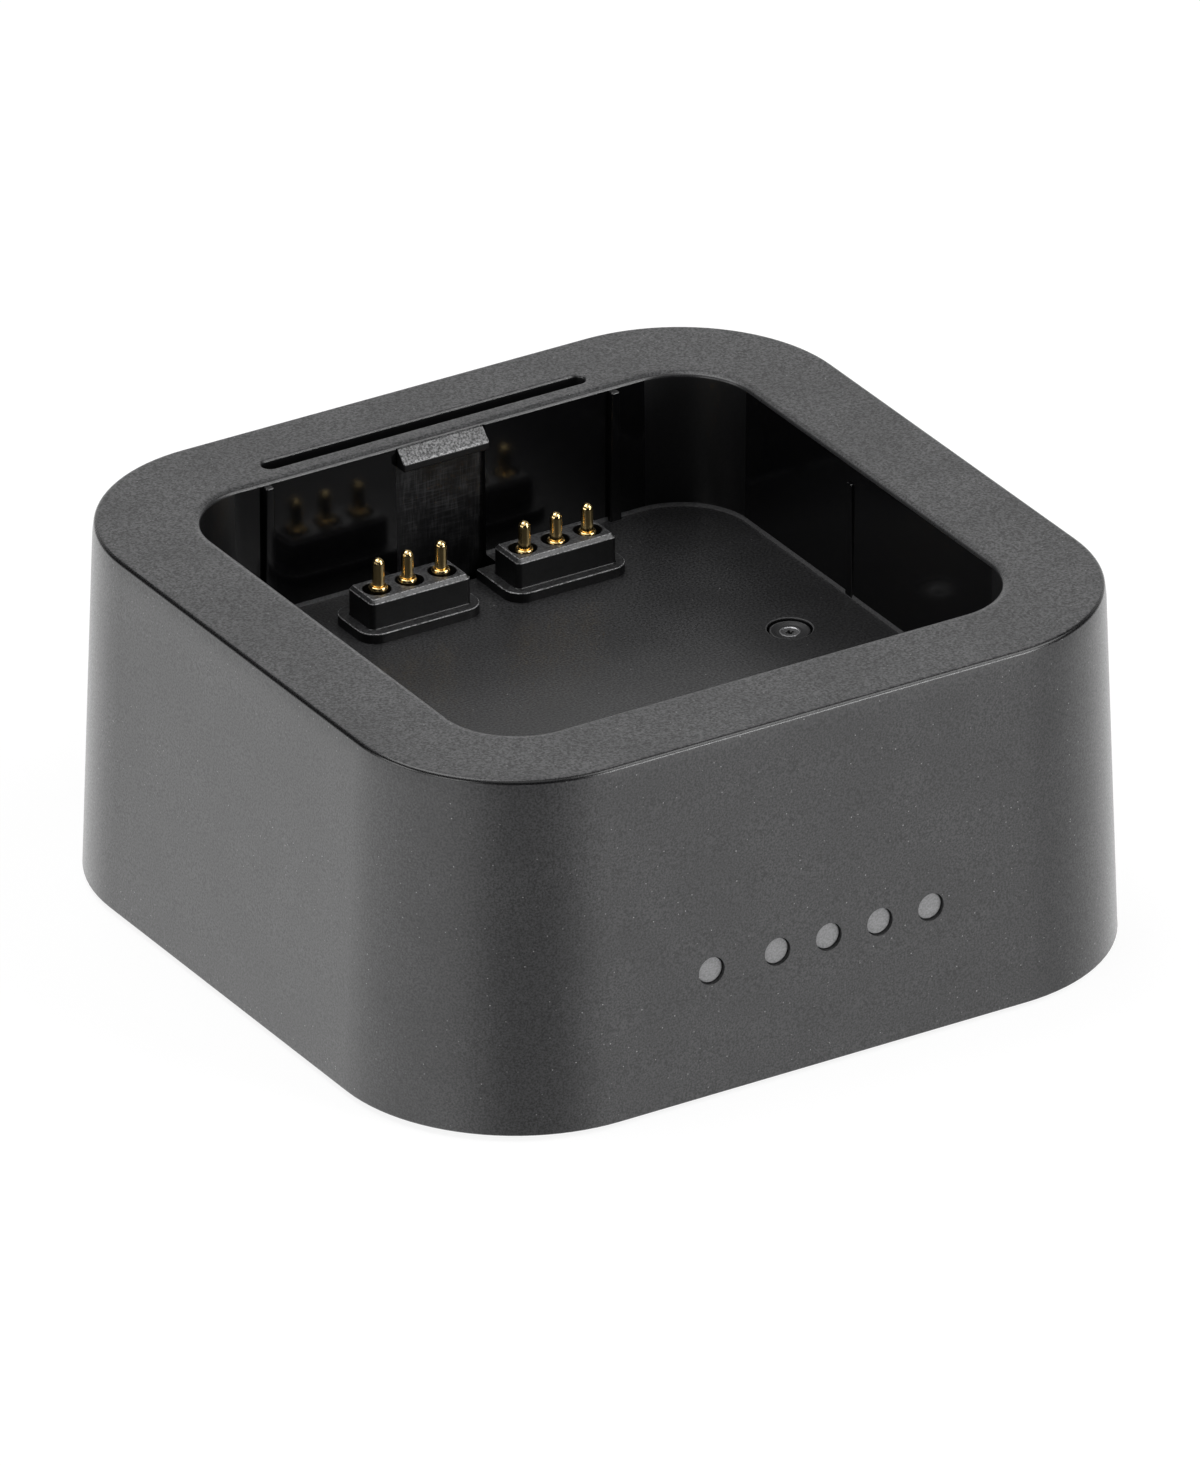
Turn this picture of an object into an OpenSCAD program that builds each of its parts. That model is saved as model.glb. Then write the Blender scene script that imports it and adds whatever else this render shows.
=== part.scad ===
// Drop-in battery charger for a camera flash.
// X runs along the front face, Y to the back, Z up. The origin is on the desk, under the middle.

/* [Body] */
// Width over the rim, left to right
body_w = 90; // [80:1:110]
// Depth over the rim, front to back
body_d = 88.2; // [80:0.2:108]
// Height of the moulding, from its bottom edge to the rim
body_h = 41.4; // [38:0.1:52]
// Outer corner radius at the rim
corner_r = 19.5; // [15:0.1:23.4]
// How far each side leans out from the rim to the bottom edge
flare = 1.55; // [0.4:0.05:2.5]
// Rounding of the outer rim edge
rim_edge_r = 0.5; // [0.2:0.1:1]
// Outer wall
wall = 2.3; // [1.8:0.1:3]
// Thickness of the rim deck
deck_t = 2.4; // [1.8:0.1:3]

/* [Battery bay] */
// Width of the bay at the rim
bay_w = 67.8; // [60:0.2:72]
// Length of the bay at the rim
bay_d = 65.6; // [58:0.2:68]
// Middle of the bay, measured from the middle of the body towards the back
bay_y = -0.4; // [-1:0.1:0]
// Depth of the bay floor below the rim
bay_depth = 16; // [14:0.2:18]
// Inner corner radius of the bay
bay_r = 8.6; // [6:0.2:11]
// Bay wall
bay_wall = 2.4; // [1.8:0.1:3]
// Bay floor
bay_floor_t = 2.2; // [1.8:0.1:2.8]
// How far each bay wall leans in from the rim to the floor
bay_draft = 0.2; // [0.1:0.05:0.4]
// Rounding of the bay's rim edge
bay_edge_r = 0.35; // [0.2:0.05:0.6]
// Sloped foot where the bay walls meet the floor
bay_foot = 0.3; // [0.2:0.05:0.6]
// Width of a centring rib at its foot
rib_w = 1.5; // [1.2:0.1:2]
// Width of a centring rib at its top
rib_top_w = 1; // [0.7:0.1:1.2]
// How far a centring rib stands out
rib_out = 0.6; // [0.4:0.05:0.8]
// Distance between the two ribs on the back wall and on the front wall
rib_pitch = 43.6; // [38:0.2:48]
// Drop of the rib tops below the rim, on the back wall and on the front wall
rib_drop = 0.5; // [0.4:0.1:2.5]
// Drop of the side ribs' tops below the rim
side_rib_drop = 2.4; // [0.8:0.1:4]
// Distance of the side ribs behind the middle of the bay
side_rib_y = 3.5; // [-10:0.5:10]

/* [Latch] */
// Width of the hook
hook_w = 10.8; // [8:0.2:14]
// How far the hook reaches into the bay
hook_out = 1.4; // [1:0.1:1.8]
// Height of the hook's upright nose
hook_nose = 1; // [0.6:0.1:1.6]
// Drop of the hook's top edge below the rim
hook_drop = 0.4; // [0.3:0.1:1]
// Depth of the recess under the hook
panel_recess = 0.45; // [0.3:0.05:0.6]
// Side gap between the hook and its recess
panel_gap = 0.2; // [0.15:0.05:0.4]
// Length of the slot that lets the latch wall bend
slot_l = 40.6; // [34:0.2:46]
// Width of that slot
slot_w = 2; // [1.4:0.1:2.6]
// Bevel round the slot's mouth
slot_bevel = 0.3; // [0.2:0.05:0.5]

/* [Contact towers] */
// Middle of a tower, left or right of the middle plane
tower_x = 9.2; // [8.8:0.1:10]
// Middle of the towers, towards the back
tower_y = 23.75; // [23:0.05:24]
// Material left between an outer well and the end of its tower
tower_wall = 0.65; // [0.5:0.05:1]
// Depth of a tower
tower_d = 5.1; // [4.8:0.1:5.6]
// Height of a tower above its flange
tower_h = 3.45; // [2.8:0.05:4]
// Bevel round a tower's top
tower_bevel = 0.45; // [0.3:0.05:0.6]
// Rounding of a tower's upright edges
tower_r = 0.6; // [0.5:0.1:1]
// Flange margin round a tower
flange_margin = 1.2; // [1:0.1:1.4]
// Extra flange behind a tower, up to the core window
flange_back = 0.4; // [0.2:0.1:0.6]
// Flange thickness
flange_t = 1.15; // [0.9:0.05:1.4]
// Outer corner radius of a flange
flange_r = 2.2; // [1.8:0.1:2.6]
// Bore of the clearance well round each contact
well_d = 3.1; // [2.9:0.1:3.3]
// Spacing of the contacts
contact_pitch = 4.1; // [4:0.02:5]

/* [Spring contacts] */
// Outer diameter of a barrel
barrel_d = 2; // [1.66:0.01:2.4]
// Wall of a barrel
barrel_wall = 0.16; // [0.14:0.01:0.18]
// Height of the left barrels above the tower top
rim_rise_left = 0.4; // [0:0.05:0.6]
// Height of the right barrels above the tower top, less than zero is below it
rim_rise_right = -0.05; // [-0.4:0.05:0.4]
// How far a plunger stands out of its barrel
plunger_out = 3.2; // [2.6:0.1:3.6]
// How far a barrel's lip closes in over its bore
lip_in = 0.125; // [0.1:0.005:0.15]
// Step from a plunger's stem in to its domed tip
tip_step = 0.055; // [0.03:0.005:0.1]
// Length of the collar that keeps a plunger in its barrel
collar_l = 1.6; // [1.2:0.1:2.4]
// Full travel of a plunger
plunger_travel = 1.6; // [1:0.1:2]
// Radial running clearance of a plunger
plunger_clear = 0.04; // [0.02:0.01:0.06]
// Wire diameter of a contact spring
spring_wire = 0.2; // [0.16:0.01:0.24]
// Gap between two turns of a fully pressed spring, in wire widths
spring_gap = 2; // [1.6:0.1:3]

/* [Lights] */
// Height of the row of lights above the moulding's bottom edge
light_z = 14.6; // [12.5:0.1:18]
// Diameter of a light window
light_d = 3.2; // [2.8:0.1:3.6]
// Radial clearance of a light rod in its window
light_clear = 0.08; // [0.05:0.01:0.12]
// How far a light rod sits below the front face
light_inset = 0.4; // [0.2:0.1:0.8]
// Spacing of the four lights on the right
light_pitch = 6.4; // [6:0.1:7]
// Gap from the first light to the second
light_gap = 8.2; // [8:0.1:9]
// Middle of the first light
light_x = -13.75; // [-15:0.05:-12]

/* [Base and feet] */
// Thickness of the base plate
base_t = 2; // [1.6:0.1:2.6]
// How far the base plate sits inside the bottom edge
base_inset = 0.2; // [0:0.1:0.5]
// Gap round the base plate
base_gap = 0.15; // [0.1:0.05:0.3]
// Width of the step that the base plate seats on
step_w = 0.9; // [0.6:0.1:1.1]
// Height of the locating lip
lip_h = 2.6; // [1.6:0.2:4]
// Thickness of the locating lip
lip_t = 1.2; // [1:0.1:1.6]
// Diameter of a rubber foot
foot_d = 10; // [8:0.5:12]
// Thickness of a rubber foot
foot_t = 1.6; // [1.2:0.1:2]
// How far the moulding's bottom edge stands off the desk
foot_stand = 0.6; // [0.4:0.1:0.8]
// Distance of a foot from the middle, along X
foot_x = 33; // [28:0.5:34]
// Distance of a foot from the middle, along Y
foot_y = 32; // [28:0.5:33]

/* [Screws] */
// Distance of a floor screw from the middle
floor_screw_x = 24.2; // [22:0.1:26]
// Bore of the pocket round a floor screw's head
pocket_d = 5; // [4.8:0.1:5.6]
// Depth of that pocket
pocket_depth = 2.1; // [1.9:0.1:2.4]
// Diameter of a floor screw's head
floor_head_d = 4.2; // [3.8:0.1:4.4]
// Height of a floor screw's head
floor_head_h = 1.5; // [1.2:0.1:1.7]
// Diameter of a floor screw's thread
floor_thread_d = 2.6; // [2.2:0.1:3]
// Length of a floor screw's thread
floor_thread_l = 12; // [9:0.5:14]
// Diameter of a board screw's head
board_head_d = 3.6; // [3.2:0.1:4]
// Height of a board screw's head
board_head_h = 1.3; // [1:0.1:1.6]
// Diameter of a board screw's thread
board_thread_d = 2; // [1.8:0.1:2.2]
// Length of a board screw's thread
board_thread_l = 6; // [5:0.5:7]
// Length of a contact board screw's thread
contact_thread_l = 4.4; // [4:0.1:4.8]
// Radial gap between a thread and its hole
thread_clear = 0.02; // [0.01:0.01:0.04]

/* [Boards] */
// Height of the main board's top above the moulding's bottom edge
board_z = 12.4; // [11.5:0.1:13]
// Thickness of a board
board_t = 1.6; // [1.2:0.2:1.6]
// Gap between the main board and the outer wall
board_gap = 0.8; // [0.5:0.1:2]
// Distance of a board screw from the middle, along X
board_screw_x = 30; // [27:0.5:31]
// Distance of a board screw from the middle, along Y
board_screw_y = 28.5; // [26:0.5:29]
// Gap from the contact board's top to the underside of the bay floor
contact_board_drop = 2.2; // [1.8:0.1:2.6]
// Width of the contact board
contact_board_w = 42; // [41:0.5:44]
// Front edge of the contact board, measured forward from the contacts
contact_board_front = 5.2; // [4.8:0.1:6]
// Back edge of the contact board, measured back from the contacts
contact_board_back = 3.4; // [3:0.1:3.6]
// Distance of a contact board screw from the middle
contact_screw_x = 18; // [17.8:0.1:19]
// Distance of the header in front of the contacts
header_y = 3.5; // [3.2:0.1:3.8]

/* [Power inlet] */
// Width of the inlet's metal shell
inlet_w = 8.94; // [8.8:0.02:9.1]
// Height of the inlet's metal shell
inlet_h = 3.2; // [3.1:0.02:3.3]
// Length of the inlet's metal shell
inlet_l = 7.3; // [7:0.1:9]
// Sheet thickness of the inlet's metal shell
inlet_t = 0.25; // [0.2:0.01:0.3]
// Gap between the metal shell and the moulding
inlet_gap = 0.2; // [0.1:0.05:0.4]
// How far the inlet's mouth sits below the back face
inlet_inset = 0.5; // [0.3:0.1:1]

/* [Hidden] */

$fn = 72;
// Number of straight steps in a quarter round
round_steps = 4;
// How far a cutter runs past the face that it cuts
past = 1;
// Gaps that fit a screw through a hole, and leave a pilot hole deeper than its screw
screw_clear = 0.2;
pilot_spare = 0.4;
// Gap between the end of a base post and the screw seat above it, so that the rim joint closes first
post_gap = 0.1;

// Heights above the desk
edge_z = foot_stand;
rim_z = edge_z + body_h;
floor_z = rim_z - bay_depth;
under_floor_z = floor_z - bay_floor_t;
under_deck_z = rim_z - deck_t;
base_z = edge_z + base_inset;
base_top_z = base_z + base_t;
board_top_z = edge_z + board_z;
board_low_z = board_top_z - board_t;
contact_board_z = under_floor_z - contact_board_drop;
contact_board_low_z = contact_board_z - board_t;
tower_w = 2 * contact_pitch + well_d + 2 * tower_wall;
flange_z = floor_z + flange_t;
tower_z = flange_z + tower_h;
light_row_z = edge_z + light_z;

// Places in plan
bay_back_y = bay_y + bay_d / 2;
panel_y = bay_back_y + panel_recess;
panel_w = hook_w + 2 * panel_gap;
slot_y = bay_back_y + bay_wall + slot_w / 2;
window_y = tower_y + tower_d / 2 + flange_margin + flange_back;

// How far the outer sides lean out at height z
function lean(z) = flare * (rim_z - z) / body_h;

/* Shared shapes */

// Slab with round corners. Each pair in the profile gives how far the outline grows, and the height.
module rounded_form(half_w, half_d, r, profile)
{
    low = profile[0][1];
    high = profile[len(profile) - 1][1];
    for (sx = [0, 1])
        for (sy = [0, 1])
            mirror([sx, 0, 0])
                mirror([0, sy, 0])
                    translate([half_w - r, half_d - r, 0])
                        rotate_extrude(angle = 90)
                            polygon(concat([[0, low]], [for (p = profile) [r + p[0], p[1]]], [[0, high]]));
    rotate([90, 0, 0])
        linear_extrude(2 * (half_d - r), center = true)
            section_outline(half_w, profile);
    rotate([90, 0, 90])
        linear_extrude(2 * (half_w - r), center = true)
            section_outline(half_d, profile);
}

// Upright section across a rounded_form
module section_outline(half, profile)
{
    last = len(profile) - 1;
    polygon(concat(
        [for (p = profile) [half + p[0], p[1]]],
        [for (i = [last:-1:0]) [-half - profile[i][0], profile[i][1]]]));
}

// Rounding that turns an upright side into the top at height z
function rounded_top(r, z) =
    [for (i = [0:round_steps])
        let (a = 90 * i / round_steps)
        [r * (cos(a) - 1), z - r + r * sin(a)]];

// Rounding that turns a cut's upright side outwards at the top face at height z
function flared_mouth(r, z) =
    [for (i = [0:round_steps])
        let (a = 90 * i / round_steps)
        [r * (1 - cos(a)), z - r + r * sin(a)]];

// Bar with round ends along X, whose sides spread by the bevel towards the top
module stadium(length, width, low, high, bevel = 0)
{
    for (s = [-1, 1])
        translate([s * (length - width) / 2, 0, low])
            cylinder(h = high - low, d1 = width, d2 = width + 2 * bevel);
    rotate([90, 0, 90])
        linear_extrude(length - width, center = true)
            polygon([[-width / 2, low], [width / 2, low],
                [width / 2 + bevel, high], [-width / 2 - bevel, high]]);
}

// The same thing at all four corners
module at_corners(x, y)
{
    for (sx = [-1, 1])
        for (sy = [-1, 1])
            translate([sx * x, sy * y, 0])
                children();
}

// Pan head screw that points down, with the underside of its head at z = 0
module pan_screw(head_d, head_h, thread_d, thread_l)
{
    dome_r = head_d * 0.76;
    recess_l = head_d * 0.52;
    recess_w = head_d * 0.12;
    recess_low = head_h * 0.4;
    recess_turn = 30;
    tip_l = thread_d / 2;
    tip_d = thread_d * 0.3;
    difference()
    {
        intersection()
        {
            cylinder(h = head_h, d = head_d);
            translate([0, 0, head_h - dome_r])
                sphere(r = dome_r);
        }
        for (a = [0, 90])
            rotate([0, 0, a + recess_turn])
                translate([-recess_l / 2, -recess_w / 2, recess_low])
                    cube([recess_l, recess_w, head_h]);
        translate([0, 0, recess_low])
            cylinder(h = head_h, d1 = recess_w, d2 = recess_l);
    }
    translate([0, 0, tip_l - thread_l])
        cylinder(h = thread_l - tip_l, d = thread_d);
    translate([0, 0, -thread_l])
        cylinder(h = tip_l, d1 = tip_d, d2 = thread_d);
}

/* Contacts, numbered from the left */

CONTACTS = [1:6];
// How far each soldered contact stands to the side of its well's middle
SOLDER_SHIFT = [0.2, -0.25, -0.15, 0.2, 0.1, -0.05];
function group_side(n) = n <= 3 ? -1 : 1;
function well_x(n) = group_side(n) * tower_x + ((n - 1) % 3 - 1) * contact_pitch;
function contact_x(n) = well_x(n) + SOLDER_SHIFT[n - 1];
function barrel_top(n) = tower_z + (n <= 3 ? rim_rise_left : rim_rise_right);

barrel_bore_r = barrel_d / 2 - barrel_wall;
barrel_mouth_r = barrel_bore_r - lip_in;
plunger_r = barrel_mouth_r - plunger_clear;
tip_r = plunger_r - tip_step;
barrel_lip = 0.4;
barrel_round = 0.3;
barrel_bottom = 0.6;
seat_flange_d = barrel_d + 0.5;
seat_flange_t = 0.7;
tail_d = 0.9;
tail_stub = 0.6;
tail_clear = 0.05;
rest_gap = 0.02;

/* Lights */

LIGHTS = [light_x,
    for (i = [0:3]) light_x + light_gap + i * light_pitch];
rod_d = light_d - 2 * light_clear;
guide_h = 2 * (light_z - board_z);
guide_d = 3;
guide_gap = 0.2;
guide_over = 3;
guide_front_y = -(body_d / 2 - wall + lean(light_row_z + guide_h / 2) - guide_gap);
guide_lamp_gap = 0.3;
peg_d = 1.2;
peg_l = 1;
peg_spare = 0.2;
PEGS = [(LIGHTS[0] + LIGHTS[1]) / 2, LIGHTS[4] + light_d];

/* Top shell */

module top_shell()
{
    color("#38383a")
        difference()
        {
            union()
            {
                difference()
                {
                    union()
                    {
                        outer_skirt();
                        bay_tub();
                    }
                    bay_cut();
                    panel_cut();
                }
                contact_towers();
                latch_hook();
                bay_ribs();
                screw_seats();
                board_bosses();
            }
            latch_slot();
            core_window();
            contact_wells();
            light_holes();
            inlet_hole();
            screw_pockets();
            boss_pilots();
        }
}

// Outer walls and deck, with the step at the bottom where the base plate seats
module outer_skirt()
{
    half_w = body_w / 2;
    half_d = body_d / 2;
    low = edge_z - past;
    difference()
    {
        rounded_form(half_w, half_d, corner_r,
            concat([[lean(edge_z), edge_z]], rounded_top(rim_edge_r, rim_z)));
        rounded_form(half_w - wall, half_d - wall, corner_r - wall,
            [[lean(low), low], [lean(under_deck_z), under_deck_z]]);
        rounded_form(half_w - wall + step_w, half_d - wall + step_w, corner_r - wall + step_w,
            [[lean(low), low], [lean(base_top_z), base_top_z]]);
    }
}

module bay_tub()
{
    translate([0, bay_y, 0])
        rounded_form(bay_w / 2 + bay_wall, bay_d / 2 + bay_wall, bay_r + bay_wall,
            [[-bay_draft, under_floor_z], [0, rim_z - deck_t / 2]]);
}

// The space of the battery bay, with the sloped foot of its walls and its rounded rim edge
module bay_cut()
{
    translate([0, bay_y, 0])
        rounded_form(bay_w / 2, bay_d / 2, bay_r,
            concat([[-bay_draft - bay_foot, floor_z], [-bay_draft, floor_z + bay_foot]],
                flared_mouth(bay_edge_r, rim_z),
                [[bay_edge_r, rim_z + past]]));
}

// Shallow recess in the back wall, from the rounding of the rim down to the floor
module panel_cut()
{
    front = bay_back_y - bay_draft - bay_foot;
    translate([-panel_w / 2, front, floor_z])
        cube([panel_w, panel_y - front, bay_depth - bay_edge_r]);
}

// Two raised towers on flat flanges. The core window cuts each flange's inner back corner square.
module contact_towers()
{
    flange_w = tower_w + 2 * flange_margin;
    flange_d = tower_d + 2 * flange_margin + flange_back;
    root_z = floor_z - bay_floor_t / 2;
    edge = flange_t * 0.13;
    for (side = [0, 1])
        mirror([side, 0, 0])
            translate([tower_x, 0, 0])
            {
                translate([0, window_y - flange_d / 2, 0])
                    rounded_form(flange_w / 2, flange_d / 2, flange_r,
                        [[0, root_z], [0, flange_z - edge], [-edge, flange_z]]);
                translate([-flange_w / 2, window_y - 2 * flange_r, root_z])
                    cube([2 * flange_r, 2 * flange_r, flange_z - root_z]);
                translate([0, tower_y, 0])
                    rounded_form(tower_w / 2, tower_d / 2, tower_r,
                        [[0, root_z], [0, tower_z - tower_bevel], [-tower_bevel, tower_z]]);
            }
}

// Sloped top, upright nose and flat underside, rooted in the recess
module latch_hook()
{
    top_z = rim_z - hook_drop;
    nose_y = bay_back_y - hook_out;
    nose_top_z = top_z - hook_out;
    nose_low_z = nose_top_z - hook_nose;
    root_y = panel_y + (bay_wall - panel_recess) / 2;
    translate([-hook_w / 2, 0, 0])
        rotate([90, 0, 90])
            linear_extrude(hook_w)
                polygon([[bay_back_y, top_z], [nose_y, nose_top_z], [nose_y, nose_low_z],
                    [root_y, nose_low_z], [root_y, top_z]]);
}

// Two ribs on the back wall, two on the front wall and one on each side
module bay_ribs()
{
    for (x = [-rib_pitch / 2, rib_pitch / 2])
    {
        translate([x, bay_back_y, 0])
            centring_rib(rib_drop);
        translate([x, bay_back_y - bay_d, 0])
            rotate([0, 0, 180])
                centring_rib(rib_drop);
    }
    for (s = [-1, 1])
        translate([s * bay_w / 2, bay_y + side_rib_y, 0])
            rotate([0, 0, -90 * s])
                centring_rib(side_rib_drop);
}

// Rib on a wall that faces -Y, drafted so that it narrows to its top, and rooted in that wall
module centring_rib(drop)
{
    root_z = floor_z - bay_floor_t / 2;
    top_z = rim_z - drop;
    translate([0, bay_wall / 2, 0])
        rotate([90, 0, 0])
            linear_extrude(bay_wall / 2 + bay_draft + rib_out)
                polygon([[-rib_w / 2, root_z], [rib_w / 2, root_z],
                    [rib_top_w / 2, top_z], [-rib_top_w / 2, top_z]]);
}

seat_t = 1.6;
seat_low_z = floor_z - pocket_depth - seat_t;

module screw_seats()
{
    for (s = [-1, 1])
        translate([s * floor_screw_x, 0, seat_low_z])
            cylinder(h = floor_z - bay_floor_t / 2 - seat_low_z, d = pocket_d + 2 * seat_t);
}

module screw_pockets()
{
    for (s = [-1, 1])
        translate([s * floor_screw_x, 0, 0])
        {
            translate([0, 0, floor_z - pocket_depth])
                cylinder(h = pocket_depth + past, d = pocket_d);
            translate([0, 0, seat_low_z - past])
                cylinder(h = seat_t + 2 * past, d = floor_thread_d + 2 * screw_clear);
        }
}

// Bosses under the bay floor for the main board and for the contact board
module board_bosses()
{
    boss_d = board_thread_d + 4;
    root_z = floor_z - bay_floor_t / 2;
    at_corners(board_screw_x, board_screw_y)
        translate([0, 0, board_top_z])
            cylinder(h = root_z - board_top_z, d1 = boss_d, d2 = boss_d + 1);
    for (s = [-1, 1])
        translate([s * contact_screw_x, tower_y, contact_board_z])
            cylinder(h = root_z - contact_board_z, d = board_thread_d + 3);
}

module boss_pilots()
{
    pilot_r = board_thread_d / 2 + thread_clear;
    at_corners(board_screw_x, board_screw_y)
        translate([0, 0, board_top_z - past])
            cylinder(h = board_thread_l - board_t + pilot_spare + past, r = pilot_r);
    for (s = [-1, 1])
        translate([s * contact_screw_x, tower_y, contact_board_z - past])
            cylinder(h = contact_thread_l - board_t + pilot_spare + past, r = pilot_r);
}

module latch_slot()
{
    translate([0, slot_y, 0])
    {
        stadium(slot_l, slot_w, under_deck_z - past, rim_z + past);
        stadium(slot_l, slot_w, rim_z - slot_bevel, rim_z, slot_bevel);
    }
}

module core_window()
{
    translate([-panel_w / 2, window_y, under_floor_z - past])
        cube([panel_w, panel_y - window_y, bay_floor_t + 2 * past]);
}

module contact_wells()
{
    for (n = CONTACTS)
        translate([well_x(n), tower_y, under_floor_z - past])
            cylinder(h = tower_z - under_floor_z + 2 * past, d = well_d);
}

module light_holes()
{
    for (x = LIGHTS)
        translate([x, -body_d / 2 + wall + past, light_row_z])
            rotate([90, 0, 0])
                cylinder(h = wall + flare + 2 * past, d = light_d);
    for (x = PEGS)
        translate([x, guide_front_y + guide_gap, light_row_z])
            rotate([90, 0, 0])
                cylinder(h = peg_l + peg_spare + guide_gap, d = peg_d + 2 * light_clear);
}

/* Power inlet */

inlet_z = board_top_z + inlet_h / 2;
inlet_mouth_y = body_d / 2 + lean(inlet_z) - inlet_inset;
inlet_back_y = inlet_mouth_y - inlet_l;

module inlet_outline(grow)
{
    r = inlet_h / 2 + grow;
    for (s = [-1, 1])
        translate([s * (inlet_w - inlet_h) / 2, 0])
            circle(r = r);
    square([inlet_w - inlet_h, 2 * r], center = true);
}

// Bar with the inlet's outline, from one place to another along Y
module inlet_bar(grow, from_y, to_y)
{
    translate([0, to_y, inlet_z])
        rotate([90, 0, 0])
            linear_extrude(to_y - from_y)
                inlet_outline(grow);
}

module inlet_hole()
{
    inlet_bar(inlet_gap, body_d / 2 - wall - past, body_d / 2 + flare + past);
}

inlet_back_t = 0.6;
tab_l = 1;
tab_out = 0.4;
TAB_PLACES = [0.8, 3.2];

// Solder tabs that go down through the main board, or the holes for them
module inlet_tabs(clear)
{
    low = board_low_z - tab_out - clear;
    for (s = [-1, 1])
        for (y = TAB_PLACES)
            translate([s * (inlet_w - inlet_t) / 2 - inlet_t / 2 - clear, inlet_back_y + y - clear, low])
                cube([inlet_t + 2 * clear, tab_l + 2 * clear, inlet_z - low]);
}

module usb_shell()
{
    color("#c8c9cc")
    {
        difference()
        {
            inlet_bar(0, inlet_back_y, inlet_mouth_y);
            inlet_bar(-inlet_t, inlet_back_y + inlet_back_t, inlet_mouth_y + past);
        }
        inlet_tabs(0);
    }
}

tongue_w = 6.65;
tongue_t = 0.7;
tongue_out = 4.45;
block_l = 1.4;
block_y = inlet_back_y + inlet_back_t;

module usb_tongue()
{
    color("#1d1d1f")
    {
        inlet_bar(-inlet_t - rest_gap, block_y, block_y + block_l);
        translate([-tongue_w / 2, block_y + block_l / 2, inlet_z - tongue_t / 2])
            cube([tongue_w, block_l / 2 + tongue_out, tongue_t]);
    }
}

module usb_contacts()
{
    strip_w = 0.25;
    strip_t = 0.06;
    strip_pitch = 0.5;
    strip_end = 0.6;
    color("#d9b765")
        for (i = [-5.5:5.5])
            for (z = [tongue_t / 2, -tongue_t / 2 - strip_t])
                translate([i * strip_pitch - strip_w / 2, block_y + block_l, inlet_z + z])
                    cube([strip_w, tongue_out - strip_end, strip_t]);
}

/* Base */

post_top_z = seat_low_z - post_gap;
post_d = floor_thread_d + 4.4;
board_hole_gap = 0.5;

module base_plate()
{
    foot_gap = 0.1;
    edge = 0.3;
    half_w = body_w / 2 - wall;
    half_d = body_d / 2 - wall;
    r = corner_r - wall;
    rim = step_w - base_gap;
    lip_low = base_top_z - base_t / 2;
    lip_high = base_top_z + lip_h;
    color("#323234")
        difference()
        {
            union()
            {
                rounded_form(half_w + rim, half_d + rim, r + rim,
                    [[lean(base_z) - edge, base_z], [lean(base_z), base_z + edge],
                        [lean(base_top_z), base_top_z]]);
                difference()
                {
                    rounded_form(half_w - base_gap, half_d - base_gap, r - base_gap,
                        [[lean(lip_low), lip_low], [lean(lip_high), lip_high]]);
                    rounded_form(half_w - base_gap - lip_t, half_d - base_gap - lip_t,
                        r - base_gap - lip_t,
                        [[lean(lip_low), lip_low], [lean(lip_high + past), lip_high + past]]);
                }
                for (s = [-1, 1])
                    translate([s * floor_screw_x, 0, 0])
                        base_post();
            }
            for (s = [-1, 1])
                translate([s * floor_screw_x, 0, floor_z - pocket_depth - floor_thread_l - pilot_spare])
                    cylinder(h = floor_thread_l + past, r = floor_thread_d / 2 + thread_clear);
            at_corners(foot_x, foot_y)
                translate([0, 0, base_z - past])
                    cylinder(h = foot_t - base_z + past, d = foot_d + 2 * foot_gap);
        }
}

// Tall screw post with four gussets
module base_post()
{
    gusset_t = 1;
    gusset_w = 3;
    gusset_h = 8;
    gusset_foot = 0.8;
    root = base_t / 2;
    translate([0, 0, base_top_z - root])
    {
        cylinder(h = post_top_z - base_top_z + root, d = post_d);
        for (a = [0:90:270])
            rotate([90, 0, a])
                linear_extrude(gusset_t, center = true)
                    polygon([[0, 0], [post_d / 2 + gusset_w, 0], [post_d / 2 + gusset_w, root + gusset_foot],
                        [post_d / 2, root + gusset_h], [0, root + gusset_h]]);
    }
}

module rubber_feet()
{
    edge = 0.3;
    color("#1c1c1d")
        at_corners(foot_x, foot_y)
        {
            cylinder(h = edge, d1 = foot_d - 2 * edge, d2 = foot_d);
            translate([0, 0, edge])
                cylinder(h = foot_t - edge, d = foot_d);
        }
}

module floor_screws()
{
    color("#202022")
        for (s = [-1, 1])
            translate([s * floor_screw_x, 0, floor_z - pocket_depth])
                pan_screw(floor_head_d, floor_head_h, floor_thread_d, floor_thread_l);
}

/* Boards */

module main_board()
{
    half_w = body_w / 2 - wall + lean(board_top_z) - board_gap;
    half_d = body_d / 2 - wall + lean(board_top_z) - board_gap;
    color("#1e4d33")
        difference()
        {
            rounded_form(half_w, half_d, corner_r - wall + lean(board_top_z) - board_gap,
                [[0, board_low_z], [0, board_top_z]]);
            for (s = [-1, 1])
                translate([s * floor_screw_x, 0, board_low_z - past])
                    cylinder(h = board_t + 2 * past, d = post_d + 2 * board_hole_gap);
            at_corners(board_screw_x, board_screw_y)
                translate([0, 0, board_low_z - past])
                    cylinder(h = board_t + 2 * past, d = board_thread_d + screw_clear);
            header_holes(board_low_z);
            inlet_tabs(tail_clear);
        }
}

module board_screws()
{
    color("#b9bbbe")
        at_corners(board_screw_x, board_screw_y)
            translate([0, 0, board_low_z])
                mirror([0, 0, 1])
                    pan_screw(board_head_d, board_head_h, board_thread_d, board_thread_l);
}

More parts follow.
